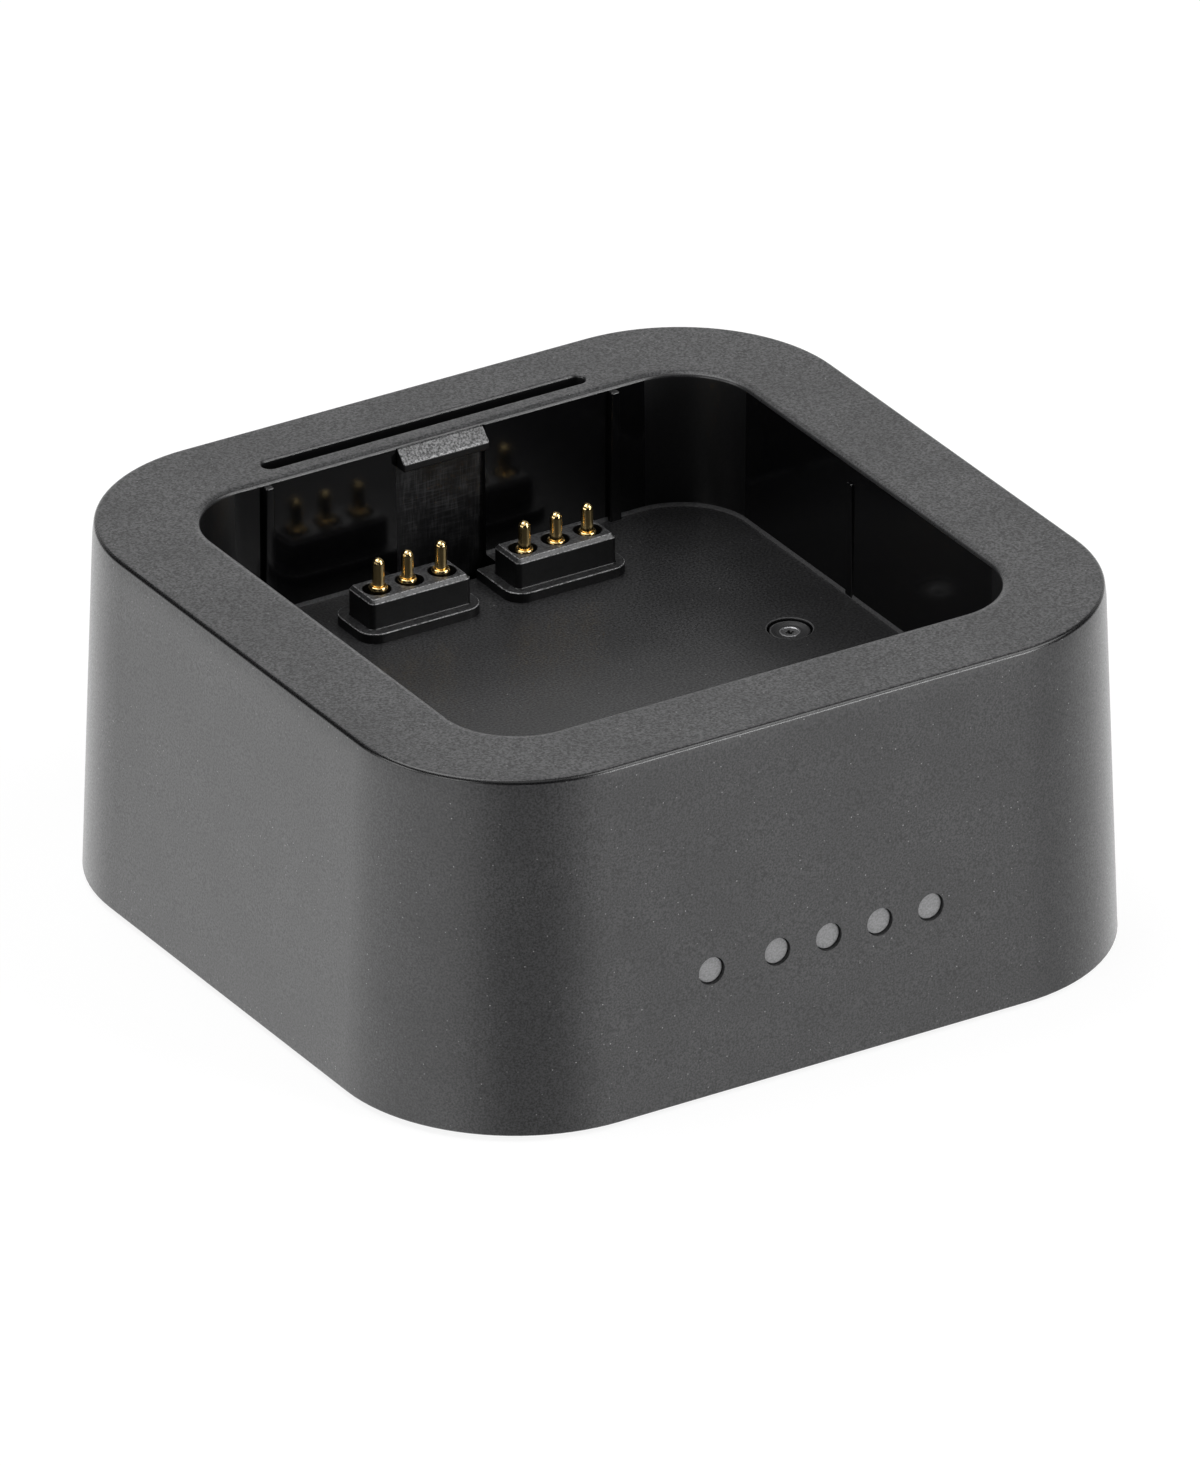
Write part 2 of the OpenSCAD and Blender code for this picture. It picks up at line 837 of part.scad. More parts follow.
module contact_board()
{
    front = tower_y - contact_board_front;
    back = tower_y + contact_board_back;
    color("#1e4d33")
        difference()
        {
            translate([0, (front + back) / 2, 0])
                rounded_form(contact_board_w / 2, (back - front) / 2, 1,
                    [[0, contact_board_low_z], [0, contact_board_z]]);
            for (n = CONTACTS)
                translate([contact_x(n), tower_y, contact_board_low_z - past])
                    cylinder(h = board_t + 2 * past, d = tail_d + 2 * tail_clear);
            for (s = [-1, 1])
                translate([s * contact_screw_x, tower_y, contact_board_low_z - past])
                    cylinder(h = board_t + 2 * past, d = board_thread_d + screw_clear);
            header_holes(contact_board_low_z);
        }
}

module contact_board_screws()
{
    color("#b9bbbe")
        for (s = [-1, 1])
            translate([s * contact_screw_x, tower_y, contact_board_low_z])
                mirror([0, 0, 1])
                    pan_screw(board_head_d, board_head_h, board_thread_d, contact_thread_l);
}

header_pitch = 2.54;
header_pin = 0.64;
header_strip_h = 2.5;
header_hole_d = 1;
header_stub = 1.2;
header_line_y = tower_y - header_y;
HEADER = [for (i = [-2.5:1:2.5]) i * header_pitch];

module header_holes(low)
{
    for (x = HEADER)
        translate([x, header_line_y, low - past])
            cylinder(h = board_t + 2 * past, d = header_hole_d);
}

module board_header()
{
    color("#1b1b1c")
        difference()
        {
            translate([-3 * header_pitch, header_line_y - header_pitch / 2, board_top_z])
                cube([6 * header_pitch, header_pitch, header_strip_h]);
            for (x = HEADER)
                translate([x - header_pin / 2, header_line_y - header_pin / 2, board_top_z - past])
                    cube([header_pin, header_pin, header_strip_h + 2 * past]);
        }
}

module header_pins()
{
    low = board_low_z - header_stub;
    high = contact_board_z + header_stub;
    color("#d9b765")
        for (x = HEADER)
            translate([x - header_pin / 2, header_line_y - header_pin / 2, low])
                cube([header_pin, header_pin, high - low]);
}

/* Spring contacts */

module pin_barrels()
{
    color("#d8b25a")
        for (n = CONTACTS)
            translate([contact_x(n), tower_y, 0])
                barrel(barrel_top(n));
}

// Turned tube with a rolled-in mouth, a seat flange and a solder tail
module barrel(top)
{
    r = barrel_d / 2;
    seat = contact_board_z;
    tail = contact_board_low_z - tail_stub;
    rotate_extrude()
        polygon(concat(
            [[0, tail], [tail_d / 2, tail], [tail_d / 2, seat], [seat_flange_d / 2, seat],
                [seat_flange_d / 2, seat + seat_flange_t], [r, seat + seat_flange_t]],
            [for (p = rounded_top(barrel_round, top)) [r + p[0], p[1]]],
            [[barrel_mouth_r, top], [barrel_mouth_r, top - barrel_lip],
                [barrel_bore_r, top - barrel_lip], [barrel_bore_r, seat + barrel_bottom],
                [0, seat + barrel_bottom]]));
}

function collar_low(n) = barrel_top(n) - barrel_lip - rest_gap - collar_l;

module plunger(n)
{
    top = barrel_top(n) + plunger_out;
    color("#dcb65c")
        translate([contact_x(n), tower_y, 0])
        {
            translate([0, 0, collar_low(n)])
                cylinder(h = collar_l, r = barrel_bore_r - plunger_clear);
            translate([0, 0, collar_low(n)])
                cylinder(h = top - tip_r - collar_low(n), r = plunger_r);
            translate([0, 0, top - tip_r])
                sphere(r = tip_r);
        }
}

module contact_plunger_1() plunger(1);
module contact_plunger_2() plunger(2);
module contact_plunger_3() plunger(3);
module contact_plunger_4() plunger(4);
module contact_plunger_5() plunger(5);
module contact_plunger_6() plunger(6);

// Coil of round wire: one ring of points for each step along the helix
module coil(mean_r, wire_r, low, high, turns)
{
    sides = 6;
    per_turn = 12;
    steps = turns * per_turn;
    points = [for (i = [0:steps])
        let (a = 360 * i / per_turn, z = low + (high - low) * i / steps)
        for (k = [0:sides - 1])
            let (b = 360 * k / sides, rr = mean_r + wire_r * cos(b))
            [rr * cos(a), rr * sin(a), z + wire_r * sin(b)]];
    walls = [for (i = [0:steps - 1])
        for (k = [0:sides - 1])
            let (m = (k + 1) % sides)
            [i * sides + k, (i + 1) * sides + k, (i + 1) * sides + m, i * sides + m]];
    polyhedron(points,
        concat([[for (k = [0:sides - 1]) k]], walls, [[for (k = [sides - 1:-1:0]) steps * sides + k]]));
}

module contact_spring(n)
{
    wire_r = spring_wire / 2;
    outer_r = barrel_bore_r - plunger_clear;
    low = contact_board_z + barrel_bottom + rest_gap + wire_r;
    high = collar_low(n) - rest_gap - wire_r;
    turns = floor((high - low - plunger_travel) / (spring_wire * (1 + spring_gap)));
    color("#b9bbbe")
        translate([contact_x(n), tower_y, 0])
            coil(outer_r - wire_r, wire_r, low, high, turns);
}

module contact_spring_1() contact_spring(1);
module contact_spring_2() contact_spring(2);
module contact_spring_3() contact_spring(3);
module contact_spring_4() contact_spring(4);
module contact_spring_5() contact_spring(5);
module contact_spring_6() contact_spring(6);

/* Lights */

module light_guide()
{
    left = LIGHTS[0] - guide_over;
    right = LIGHTS[4] + guide_over + peg_d;
    color("#a9abad")
    {
        translate([left, guide_front_y, light_row_z - guide_h / 2])
            cube([right - left, guide_d, guide_h]);
        for (x = LIGHTS)
            translate([x, guide_front_y + guide_d / 2, light_row_z])
                rotate([90, 0, 0])
                    cylinder(h = guide_d / 2 + guide_front_y + body_d / 2 + lean(light_row_z) - light_inset,
                        d = rod_d);
        for (x = PEGS)
            translate([x, guide_front_y + guide_d / 2, light_row_z])
                rotate([90, 0, 0])
                    cylinder(h = guide_d / 2 + guide_gap + peg_l, d = peg_d);
    }
}

module indicator_leds()
{
    lamp_w = 2.8;
    lamp_d = 2.2;
    lamp_h = 3.4;
    lens_d = 1.8;
    lens_out = 0.15;
    front_y = guide_front_y + guide_d + guide_lamp_gap + lens_out;
    color("#e9e6da")
        for (x = LIGHTS)
        {
            translate([x - lamp_w / 2, front_y, board_top_z])
                cube([lamp_w, lamp_d, lamp_h]);
            translate([x, front_y + lamp_d / 2, light_row_z])
                rotate([90, 0, 0])
                    cylinder(h = lamp_d / 2 + lens_out, d = lens_d);
        }
}

/* Parts on the main board */

module power_inductor()
{
    size = 8;
    height = 4.2;
    edge = 0.3;
    core_d = 5;
    core_out = 0.2;
    high = board_top_z + height;
    color("#4a4a4d")
        translate([-11, -15, 0])
        {
            rounded_form(size / 2, size / 2, size / 5, [[0, board_top_z], [0, high - edge], [-edge, high]]);
            translate([0, 0, board_top_z + height / 2])
                cylinder(h = height / 2 + core_out, d = core_d);
        }
}

CAPACITORS = [[9, -17], [17, -17], [13, -25]];

// Surface mount can on a square base, with a rolled groove
module filter_capacitors()
{
    can_r = 3.15;
    can_h = 7.7;
    base_w = 6.6;
    base_h = 1.1;
    groove = 0.3;
    groove_z = 2.3;
    color("#c3c6ca")
        for (p = CAPACITORS)
            translate([p[0], p[1], board_top_z])
            {
                rounded_form(base_w / 2, base_w / 2, 2 * groove, [[0, 0], [0, base_h]]);
                rotate_extrude()
                    polygon([[0, base_h / 2], [can_r, base_h / 2], [can_r, groove_z - groove],
                        [can_r - groove, groove_z], [can_r, groove_z + groove],
                        [can_r, can_h - groove], [can_r - groove, can_h], [0, can_h]]);
            }
}

module charge_controller()
{
    size = 7;
    height = 1.2;
    lead_w = 0.3;
    lead_l = 1;
    lead_t = 0.25;
    lead_pitch = 0.8;
    color("#232326")
        translate([0, -4, board_top_z])
        {
            translate([-size / 2, -size / 2, 0])
                cube([size, size, height]);
            for (a = [0:90:270])
                rotate([0, 0, a])
                    for (i = [-3.5:3.5])
                        translate([i * lead_pitch - lead_w / 2, size / 2 - lead_w, 0])
                            cube([lead_w, lead_w + lead_l, lead_t]);
        }
}

TRANSISTORS = [[-22, -15], [-22, -26], [-11, -26]];

// Flat package with a cooling tab and three leads
module power_transistors()
{
    body_l = 6.4;
    tab_w = 5.4;
    lead_w = 0.8;
    lead_l = 2;
    sheet_t = 0.5;
    color("#262629")
        for (p = TRANSISTORS)
            translate([p[0], p[1], board_top_z])
            {
                translate([-body_l / 2, -body_l / 2, 0])
                    cube([body_l, body_l, 2.3]);
                translate([-tab_w / 2, body_l / 2 - sheet_t, 0])
                    cube([tab_w, sheet_t + 1.2, sheet_t]);
                for (x = [-2.3, 2.3])
                    translate([x - lead_w / 2, -body_l / 2 - lead_l, 0])
                        cube([lead_w, lead_l + sheet_t, sheet_t]);
            }
}

CHIPS = [[-8, 4], [-5, 4], [5, 4], [8, 4], [-7, -4], [-7, -1], [7, -4], [7, -1],
    [-14, 2], [-14, 5], [14, 2], [14, 5], [-4, 10], [0, 10], [4, 10], [24, -20]];

module chip_parts()
{
    chip_l = 2;
    chip_w = 1.2;
    chip_h = 0.8;
    color("#a58d6a")
        for (p = CHIPS)
            translate([p[0] - chip_l / 2, p[1] - chip_w / 2, board_top_z])
                cube([chip_l, chip_w, chip_h]);
}

top_shell();
base_plate();
rubber_feet();
floor_screws();
board_screws();
contact_board_screws();
main_board();
contact_board();
board_header();
header_pins();
pin_barrels();
contact_plunger_1();
contact_plunger_2();
contact_plunger_3();
contact_plunger_4();
contact_plunger_5();
contact_plunger_6();
contact_spring_1();
contact_spring_2();
contact_spring_3();
contact_spring_4();
contact_spring_5();
contact_spring_6();
light_guide();
indicator_leds();
usb_shell();
usb_tongue();
usb_contacts();
power_inductor();
filter_capacitors();
charge_controller();
power_transistors();
chip_parts();
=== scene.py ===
"""Looks of a drop-in battery charger for a camera flash, made around its packed construction."""

from math import cos, floor, hypot, pi, radians, sin, tan

import bmesh
import bpy
from mathutils import Matrix, Vector


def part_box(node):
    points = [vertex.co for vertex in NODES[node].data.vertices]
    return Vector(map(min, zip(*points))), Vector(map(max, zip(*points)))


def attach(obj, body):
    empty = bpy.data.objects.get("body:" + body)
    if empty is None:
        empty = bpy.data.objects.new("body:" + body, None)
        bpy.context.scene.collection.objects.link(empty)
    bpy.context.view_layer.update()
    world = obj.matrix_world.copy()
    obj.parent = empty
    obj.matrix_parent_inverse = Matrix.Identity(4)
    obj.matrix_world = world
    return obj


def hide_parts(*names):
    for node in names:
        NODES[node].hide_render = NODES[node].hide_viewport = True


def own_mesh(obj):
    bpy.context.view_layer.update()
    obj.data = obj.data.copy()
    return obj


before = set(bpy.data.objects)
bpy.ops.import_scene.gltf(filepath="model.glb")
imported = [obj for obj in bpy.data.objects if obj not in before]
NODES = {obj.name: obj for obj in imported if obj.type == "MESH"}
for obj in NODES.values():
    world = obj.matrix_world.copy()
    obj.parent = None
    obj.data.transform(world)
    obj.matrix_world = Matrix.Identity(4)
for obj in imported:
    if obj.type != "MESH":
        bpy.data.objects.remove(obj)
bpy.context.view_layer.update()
MM = 0.001

# Sizes in millimetres, with heights above the desk


def node_box(name):
    """Lowest and highest corner of a CAD node, in millimetres."""
    low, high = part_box(name)
    return low / MM, high / MM


SHELL_LOW, SHELL_HIGH = node_box("top_shell")
EDGE_Z = SHELL_LOW.z
RIM_Z = SHELL_HIGH.z
FLARE = 1.55
HALF_W = SHELL_HIGH.x - FLARE
HALF_D = SHELL_HIGH.y - FLARE
CORNER_R = 19.5
WALL = 2.3
DECK_T = 2.4
RIM_EDGE = 0.5
FOOT_EDGE = 0.25
# The top of the outer wall is softened inwards: drops below the rim, and how far in the wall is there.
WALL_SOFTENING = [(2.6, 0), (1.9, 0.008), (1.3, 0.035), (0.9, 0.07)]
RIM_SOFT = 0.11

BAY_W, BAY_D, BAY_Y = 67.8, 65.6, -0.4
BAY_R = 8.6
BAY_WALL = 2.4
BAY_DRAFT = 0.2
BAY_EDGE = 0.35
BAY_LEAD, BAY_LEAD_TILT = 0.42, 20
BAY_LEAD_END = BAY_EDGE * (1 - sin(radians(BAY_LEAD_TILT)))
BAY_FOOT, BAY_FOOT_OUT = 0.4, 0.12
FLOOR_Z = RIM_Z - 16
UNDER_FLOOR_Z = FLOOR_Z - 2.2
UNDER_DECK_Z = RIM_Z - DECK_T
BAY_BACK_Y = BAY_Y + BAY_D / 2
RIB_W, RIB_TOP_W, RIB_OUT, RIB_PITCH, RIB_DROP, RIB_EDGE = 1.5, 1.0, 0.6, 43.6, 0.5, 0.15
FRONT_RIB_DROP = RIB_DROP + 0.8
SIDE_RIB_DROP, SIDE_RIB_Y, SIDE_RIB_OUT = 2.4, BAY_Y + 3.5, 0.12

HOOK_W, HOOK_OUT, HOOK_NOSE, HOOK_DROP, HOOK_EDGE = 10.8, 1.4, 1.0, 0.4, 0.2
PANEL_RECESS = 0.45
PANEL_W = HOOK_W + 0.4
PANEL_Y = BAY_BACK_Y + PANEL_RECESS
SLOT_L, SLOT_W, SLOT_EDGE = 40.6, 2.0, 0.3
SLOT_Y = BAY_BACK_Y + BAY_WALL + SLOT_W / 2

TOWER_X, TOWER_Y = 9.2, 23.75
TOWER_W, TOWER_D, TOWER_H = 12.6, 5.1, 3.45
TOWER_EDGE, TOWER_R, TOWER_BLEND = 0.45, 0.6, 0.12
FLANGE_MARGIN, FLANGE_BACK, FLANGE_T, FLANGE_R = 1.2, 0.4, 1.15, 2.2
FLANGE_EDGE, FLANGE_CUT_R = 0.16, 0.15
FLANGE_Z = FLOOR_Z + FLANGE_T
TOWER_Z = FLANGE_Z + TOWER_H
WINDOW_Y = TOWER_Y + TOWER_D / 2 + FLANGE_MARGIN + FLANGE_BACK
WELL_D = 3.1
CONTACT_PITCH = 4.1
CONTACT_BOARD_Z = UNDER_FLOOR_Z - 2.2

FLOOR_SCREW_X = 24.2
POCKET_D, POCKET_DEPTH = 5.0, 2.1
SEAT_R, SEAT_LOW_Z = 4.1, FLOOR_Z - 3.7
SCREW_HOLE_R, PILOT_R, PILOT_DEPTH = 1.5, 1.02, 4.8
BOARD_SCREW_X, BOARD_SCREW_Y = 30, 28.5
CONTACT_SCREW_X = 18
LIGHT_Z = EDGE_Z + 14.6
LIGHT_D = 3.2
LIGHT_XS = [-13.75, -5.55, 0.85, 7.25, 13.65]

BOARD_TOP_Z = node_box("main_board")[1].z
BASE_TOP_Z = 2.8
STEP_W = 0.9
# How far a cutter passes the face that it opens, and a boss goes into the wall that carries it.
PAST = 1
# The softening of round holes at their mouth.
MOUTH_EDGE = 0.12
# Extra rings this far from an edge keep the smooth shading of the flat beside it even.
NEAR = 0.3
CORNER_STEPS = 24
ROUND_STEPS = 6

CONTACTS = range(1, 7)

# Mesh helpers: shapes are made in millimetres and scaled once, when a piece is finished


def outline(half_w, half_d, radii, y=0.0, x=0.0):
    """A rectangle with round corners; radii: one size, or four, from the right back corner anticlockwise."""
    if not isinstance(radii, tuple):
        radii = (radii,) * 4
    return half_w, half_d, radii, x, y


def ring(shape, grow, z, steps):
    """Points of an outline that has grown by a distance, with extra points near the ends of each side."""
    half_w, half_d, radii, x0, y0 = shape
    corners = []
    for k, (sx, sy) in enumerate(((1, 1), (-1, 1), (-1, -1), (1, -1))):
        r = max(radii[k] + grow, 0.02)
        cx = x0 + sx * (half_w + grow - r)
        cy = y0 + sy * (half_d + grow - r)
        start = pi / 2 * k
        angles = [start + pi / 2 * i / steps for i in range(steps + 1)]
        corners.append([(cx + r * cos(a), cy + r * sin(a)) for a in angles])
    points = []
    for k, corner in enumerate(corners):
        points += corner
        a, b = Vector(corner[-1]), Vector(corners[(k + 1) % 4][0])
        inset = min(0.6, 0.2 * (b - a).length)
        along = (b - a).normalized() * inset
        points += [tuple(a + along), tuple(b - along)]
    return [(px, py, z) for px, py in points]


def arc(centre_grow, centre_z, r, start, end, steps=ROUND_STEPS):
    """Points of a profile's rounding, as pairs of grow and height; angles in degrees."""
    angles = [radians(start + (end - start) * i / steps) for i in range(steps + 1)]
    return [(centre_grow + r * cos(a), centre_z + r * sin(a)) for a in angles]


def in_scene(name, data):
    """A new object in the scene, for a mesh, lamp or camera."""
    obj = bpy.data.objects.new(name, data)
    bpy.context.scene.collection.objects.link(obj)
    return obj


def new_object(name, bm):
    """An object from a bmesh, which is freed."""
    mesh = bpy.data.meshes.new(name)
    bm.to_mesh(mesh)
    bm.free()
    return in_scene(name, mesh)


def discard(obj):
    """Removes an object and its mesh."""
    mesh = obj.data
    bpy.data.objects.remove(obj)
    bpy.data.meshes.remove(mesh)


def skin(bm, rings):
    """Joins rings of points into a closed skin, capped at both ends."""
    rows = [[bm.verts.new(p) for p in r] for r in rings]
    count = len(rows[0])
    for low, high in zip(rows, rows[1:]):
        for k in range(count):
            m = (k + 1) % count
            bm.faces.new((low[k], low[m], high[m], high[k]))
    bm.faces.new(rows[0][::-1])
    bm.faces.new(rows[-1])


def lofted(name, parts, steps=CORNER_STEPS):
    """A solid from a list of (outline, profile) pairs, where a profile is a list of (grow, height)."""
    bm = bmesh.new()
    skin(bm, [ring(shape, g, z, steps) for shape, profile in parts for g, z in profile])
    return new_object(name, bm)


def turned(name, profile, x=0.0, y=0.0, sides=64):
    """A solid of revolution about an upright axis, from (radius, height) pairs that go up."""
    bm = bmesh.new()
    angles = [2 * pi * k / sides for k in range(sides)]
    skin(bm, [[(x + r * cos(a), y + r * sin(a), z) for a in angles] for r, z in profile])
    return new_object(name, bm)


def round_edges(bm, width, segments):
    """Rounds every edge of a form."""
    bmesh.ops.bevel(bm, geom=bm.edges[:], offset=width, segments=segments, affect="EDGES", profile=0.5)


def block(name, low, high, bevel=0.0, segments=2):
    """A box between two corners, with rounded edges where a bevel is given."""
    bm = bmesh.new()
    bmesh.ops.create_cube(bm, size=1)
    low, high = Vector(low), Vector(high)
    for v in bm.verts:
        v.co = Vector(((v.co[i] + 0.5) * (high[i] - low[i]) + low[i]) for i in range(3))
    if bevel:
        round_edges(bm, bevel, segments)
    return new_object(name, bm)


def prism(name, points, half_x, bevel):
    """A bar along X from (y, z) points, anticlockwise as seen from +X, with rounded edges."""
    bm = bmesh.new()
    skin(bm, [[(x, py, pz) for py, pz in points] for x in (-half_x, half_x)])
    round_edges(bm, bevel, 3)
    return new_object(name, bm)


def placed(obj, place, degrees=0, axis="X"):
    """Turns a form about an axis through the origin, then moves it to its place."""
    obj.data.transform(Matrix.Translation(place) @ Matrix.Rotation(radians(degrees), 4, axis))
    return obj


def evaluated(obj):
    """The object with its modifiers applied to its mesh."""
    bpy.context.view_layer.update()
    depsgraph = bpy.context.evaluated_depsgraph_get()
    mesh = bpy.data.meshes.new_from_object(obj.evaluated_get(depsgraph), depsgraph=depsgraph)
    obj.modifiers.clear()
    old = obj.data
    obj.data = mesh
    bpy.data.meshes.remove(old)
    return obj


def combine(obj, operation, tools):
    """Adds or cuts away each tool in turn, and removes the tools."""
    for tool in tools:
        modifier = obj.modifiers.new("combine", "BOOLEAN")
        modifier.solver = "MANIFOLD"
        modifier.operation = operation
        modifier.object = tool
        evaluated(obj)
        discard(tool)
    return obj


def merged(name, objects):
    """One object from several, which needn't touch."""
    bm = bmesh.new()
    for obj in objects:
        bm.from_mesh(obj.data)
        discard(obj)
    return new_object(name, bm)


def finished(obj, node, finishes, body="housing", sharp=35.0, pick=None):
    """Scales a piece to metres, smooths it up to an angle, with finishes, body and CAD node."""
    obj.data.transform(Matrix.Scale(MM, 4))
    obj.data.shade_smooth()
    obj.data.set_sharp_from_angle(angle=radians(sharp))
    weights = obj.modifiers.new("weights", "WEIGHTED_NORMAL")
    weights.keep_sharp = True
    evaluated(obj)
    obj.data.materials.clear()
    for finish in finishes:
        obj.data.materials.append(finish)
    if pick:
        for face in obj.data.polygons:
            face.material_index = pick(face)
    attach(obj, body)
    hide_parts(node)
    return obj


# Material helpers. A colour Mix has its factor at socket 0 and its two colours at 6 and 7.

MAP_RANGE, MATH, MIX, BUMP = "ShaderNodeMapRange", "ShaderNodeMath", "ShaderNodeMix", "ShaderNodeBump"


def linear(hex_colour):
    """An sRGB hex colour as linear RGBA."""
    parts = [int(hex_colour[i:i + 2], 16) / 255 for i in (1, 3, 5)]
    return [c / 12.92 if c <= 0.04045 else ((c + 0.055) / 1.055) ** 2.4 for c in parts] + [1.0]


def add(tree, kind, inputs=(), **settings):
    """Adds a node with its settings. Inputs are in socket order, or a dict by socket name or number. Each
    is a value or an output to link from, and a node stands for its first output in use."""
    node = tree.nodes.new(kind)
    for key, value in settings.items():
        setattr(node, key, value)
    for key, value in inputs.items() if isinstance(inputs, dict) else enumerate(inputs):
        if isinstance(value, bpy.types.Node):
            value = next(output for output in value.outputs if output.enabled)
        if isinstance(value, bpy.types.NodeSocket):
            tree.links.new(value, node.inputs[key])
        else:
            node.inputs[key].default_value = value
    return node


def new_material(name):
    """A material with an empty tree."""
    mat = bpy.data.materials.new(name)
    mat.use_nodes = True
    mat.node_tree.nodes.clear()
    return mat, mat.node_tree


def shaded(mat, tree, inputs):
    """Ends a material with one Principled shader."""
    shader = add(tree, "ShaderNodeBsdfPrincipled", inputs)
    add(tree, "ShaderNodeOutputMaterial", {"Surface": shader})
    return mat


def grain(tree, size_mm, detail=2.0, roughness=0.5, stretch=(1, 1, 1)):
    """A surface pattern: noise on object coordinates, with features about size_mm wide."""
    place = add(tree, "ShaderNodeTexCoord").outputs["Object"]
    mapping = add(tree, "ShaderNodeMapping", {"Vector": place, "Scale": stretch})
    return add(tree, "ShaderNodeTexNoise", {"Vector": mapping, "Scale": 1 / (size_mm * MM), "Detail": detail,
                                            "Roughness": roughness})


# Finishes of the black plastic

ABS_IOR = 1.53
# The part of a fine grain's noise over which its tone and gloss change.
GRAIN_LOW, GRAIN_HIGH = 0.36, 0.64
BROAD_MM = 9.0
# Radii of a speck of dust: its solid middle, and where it has faded out.
SPECK_R, SPECK_END_R = 0.035, 0.085
DUST = "#b4b4b4"


def moulded_abs(name, dark, light, grain_mm, depth_mm, roughness, dust_mm=0.0, sparkle=0.04):
    """Black ABS from a spark-eroded mould: fine pits and peaks that catch more or less light, with dust.
    The pits are drawn wider than real ones, so that they don't fall between pixels."""
    mat, tree = new_material(name)
    fine = grain(tree, grain_mm, detail=2.0, roughness=0.6)
    gloss = add(tree, MAP_RANGE, (fine, GRAIN_LOW, GRAIN_HIGH, roughness + sparkle, roughness - sparkle))
    peaks = add(tree, MAP_RANGE, (fine, GRAIN_LOW, GRAIN_HIGH))
    broad = add(tree, MAP_RANGE, (grain(tree, BROAD_MM, detail=1.0), 0.35, 0.65, 0.0, 0.25))
    tone = add(tree, MIX, {0: peaks, 6: linear(dark), 7: linear(light)}, data_type="RGBA")
    tone = add(tree, MIX, {0: broad, 6: tone, 7: linear(dark)}, data_type="RGBA")
    if dust_mm:
        place = add(tree, "ShaderNodeTexCoord").outputs["Object"]
        cells = add(tree, "ShaderNodeTexVoronoi", {"Vector": place, "Scale": 1 / (dust_mm * MM)}).outputs
        speck = add(tree, MAP_RANGE, (cells["Distance"], SPECK_R / dust_mm, SPECK_END_R / dust_mm, 1, 0))
        chance = add(tree, "ShaderNodeSeparateColor", {"Color": cells["Color"]}).outputs["Red"]
        amount = add(tree, MAP_RANGE, (chance, 0.3, 1.0, 0.0, 0.8))
        speck = add(tree, MATH, (speck, amount), operation="MULTIPLY")
        tone = add(tree, MIX, {0: speck, 6: tone, 7: linear(DUST)}, data_type="RGBA")
    bump = add(tree, BUMP, {"Height": fine, "Distance": depth_mm * MM})
    return shaded(mat, tree, {"Base Color": tone, "Roughness": gloss, "IOR": ABS_IOR, "Normal": bump})


# The outer walls: an even, soft spark texture with a trace of dust.
outer_abs = moulded_abs("abs_spark_textured", "#1d1d1e", "#424243", 0.22, 0.007, 0.33, dust_mm=0.8)
# The rim: a livelier, deeper grain that glitters against the backdrop. The tower tops share it, as painted
# light.
rim_and_painted_light_abs = moulded_abs("abs_rim_texture_and_painted_light", "#111112", "#575758", 0.26, 0.014, 0.34, dust_mm=0.8, sparkle=0.05)
# Rounded outer edges: a smoother line, painted darker as painted shade, that frames the rim. The fillet at
# each tower's foot gets the same painted shade.
edge_shade_abs = moulded_abs("abs_rounded_edge_painted_shade", "#0a0a0b", "#121213", 0.24, 0.002, 0.28)
# The bay floor: matt and mottled, with larger dust.
floor_abs = moulded_abs("abs_fine_matt", "#080809", "#404041", 0.26, 0.02, 0.33, dust_mm=1.2)
# The top of the latch hook: the coarsest and palest grain.
hook_abs = moulded_abs("abs_coarse_matt", "#030304", "#7a7a7b", 0.24, 0.04, 0.38, sparkle=0.06)
# Tower sides, slot and bay corners: near black with a soft sheen.
side_abs = moulded_abs("abs_satin", "#080809", "#141415", 0.26, 0.008, 0.34)
# The bay walls: polished, so that they mirror the floor and the contacts.
wall_abs = moulded_abs("abs_polished", "#070708", "#0b0b0c", 0.8, 0.001, 0.13, sparkle=0.02)
# The bay's lip: a grey line painted a little paler than the walls below it, as a painted highlight.
lip_highlight_abs = moulded_abs("abs_bay_lip_painted_highlight", "#1c1c1d", "#353536", 0.24, 0.004, 0.3)
# Edges of the towers, flanges and latch hook: a pale broken line, painted on as a highlight.
edge_highlight_abs = moulded_abs("abs_painted_edge_highlight", "#2c2c2d", "#b4b4b5", 0.24, 0.012, 0.4)
# The fillet where floor meets wall, and the mouth of each screw pocket: a thin paler line, painted as a
# highlight.
fillet_highlight_abs = moulded_abs("abs_fillet_painted_highlight", "#444445", "#555556", 0.28, 0.01, 0.6)
# The base plate: plain and dull.
base_abs = moulded_abs("abs_base_plate", "#202021", "#39393a", 0.28, 0.02, 0.5)


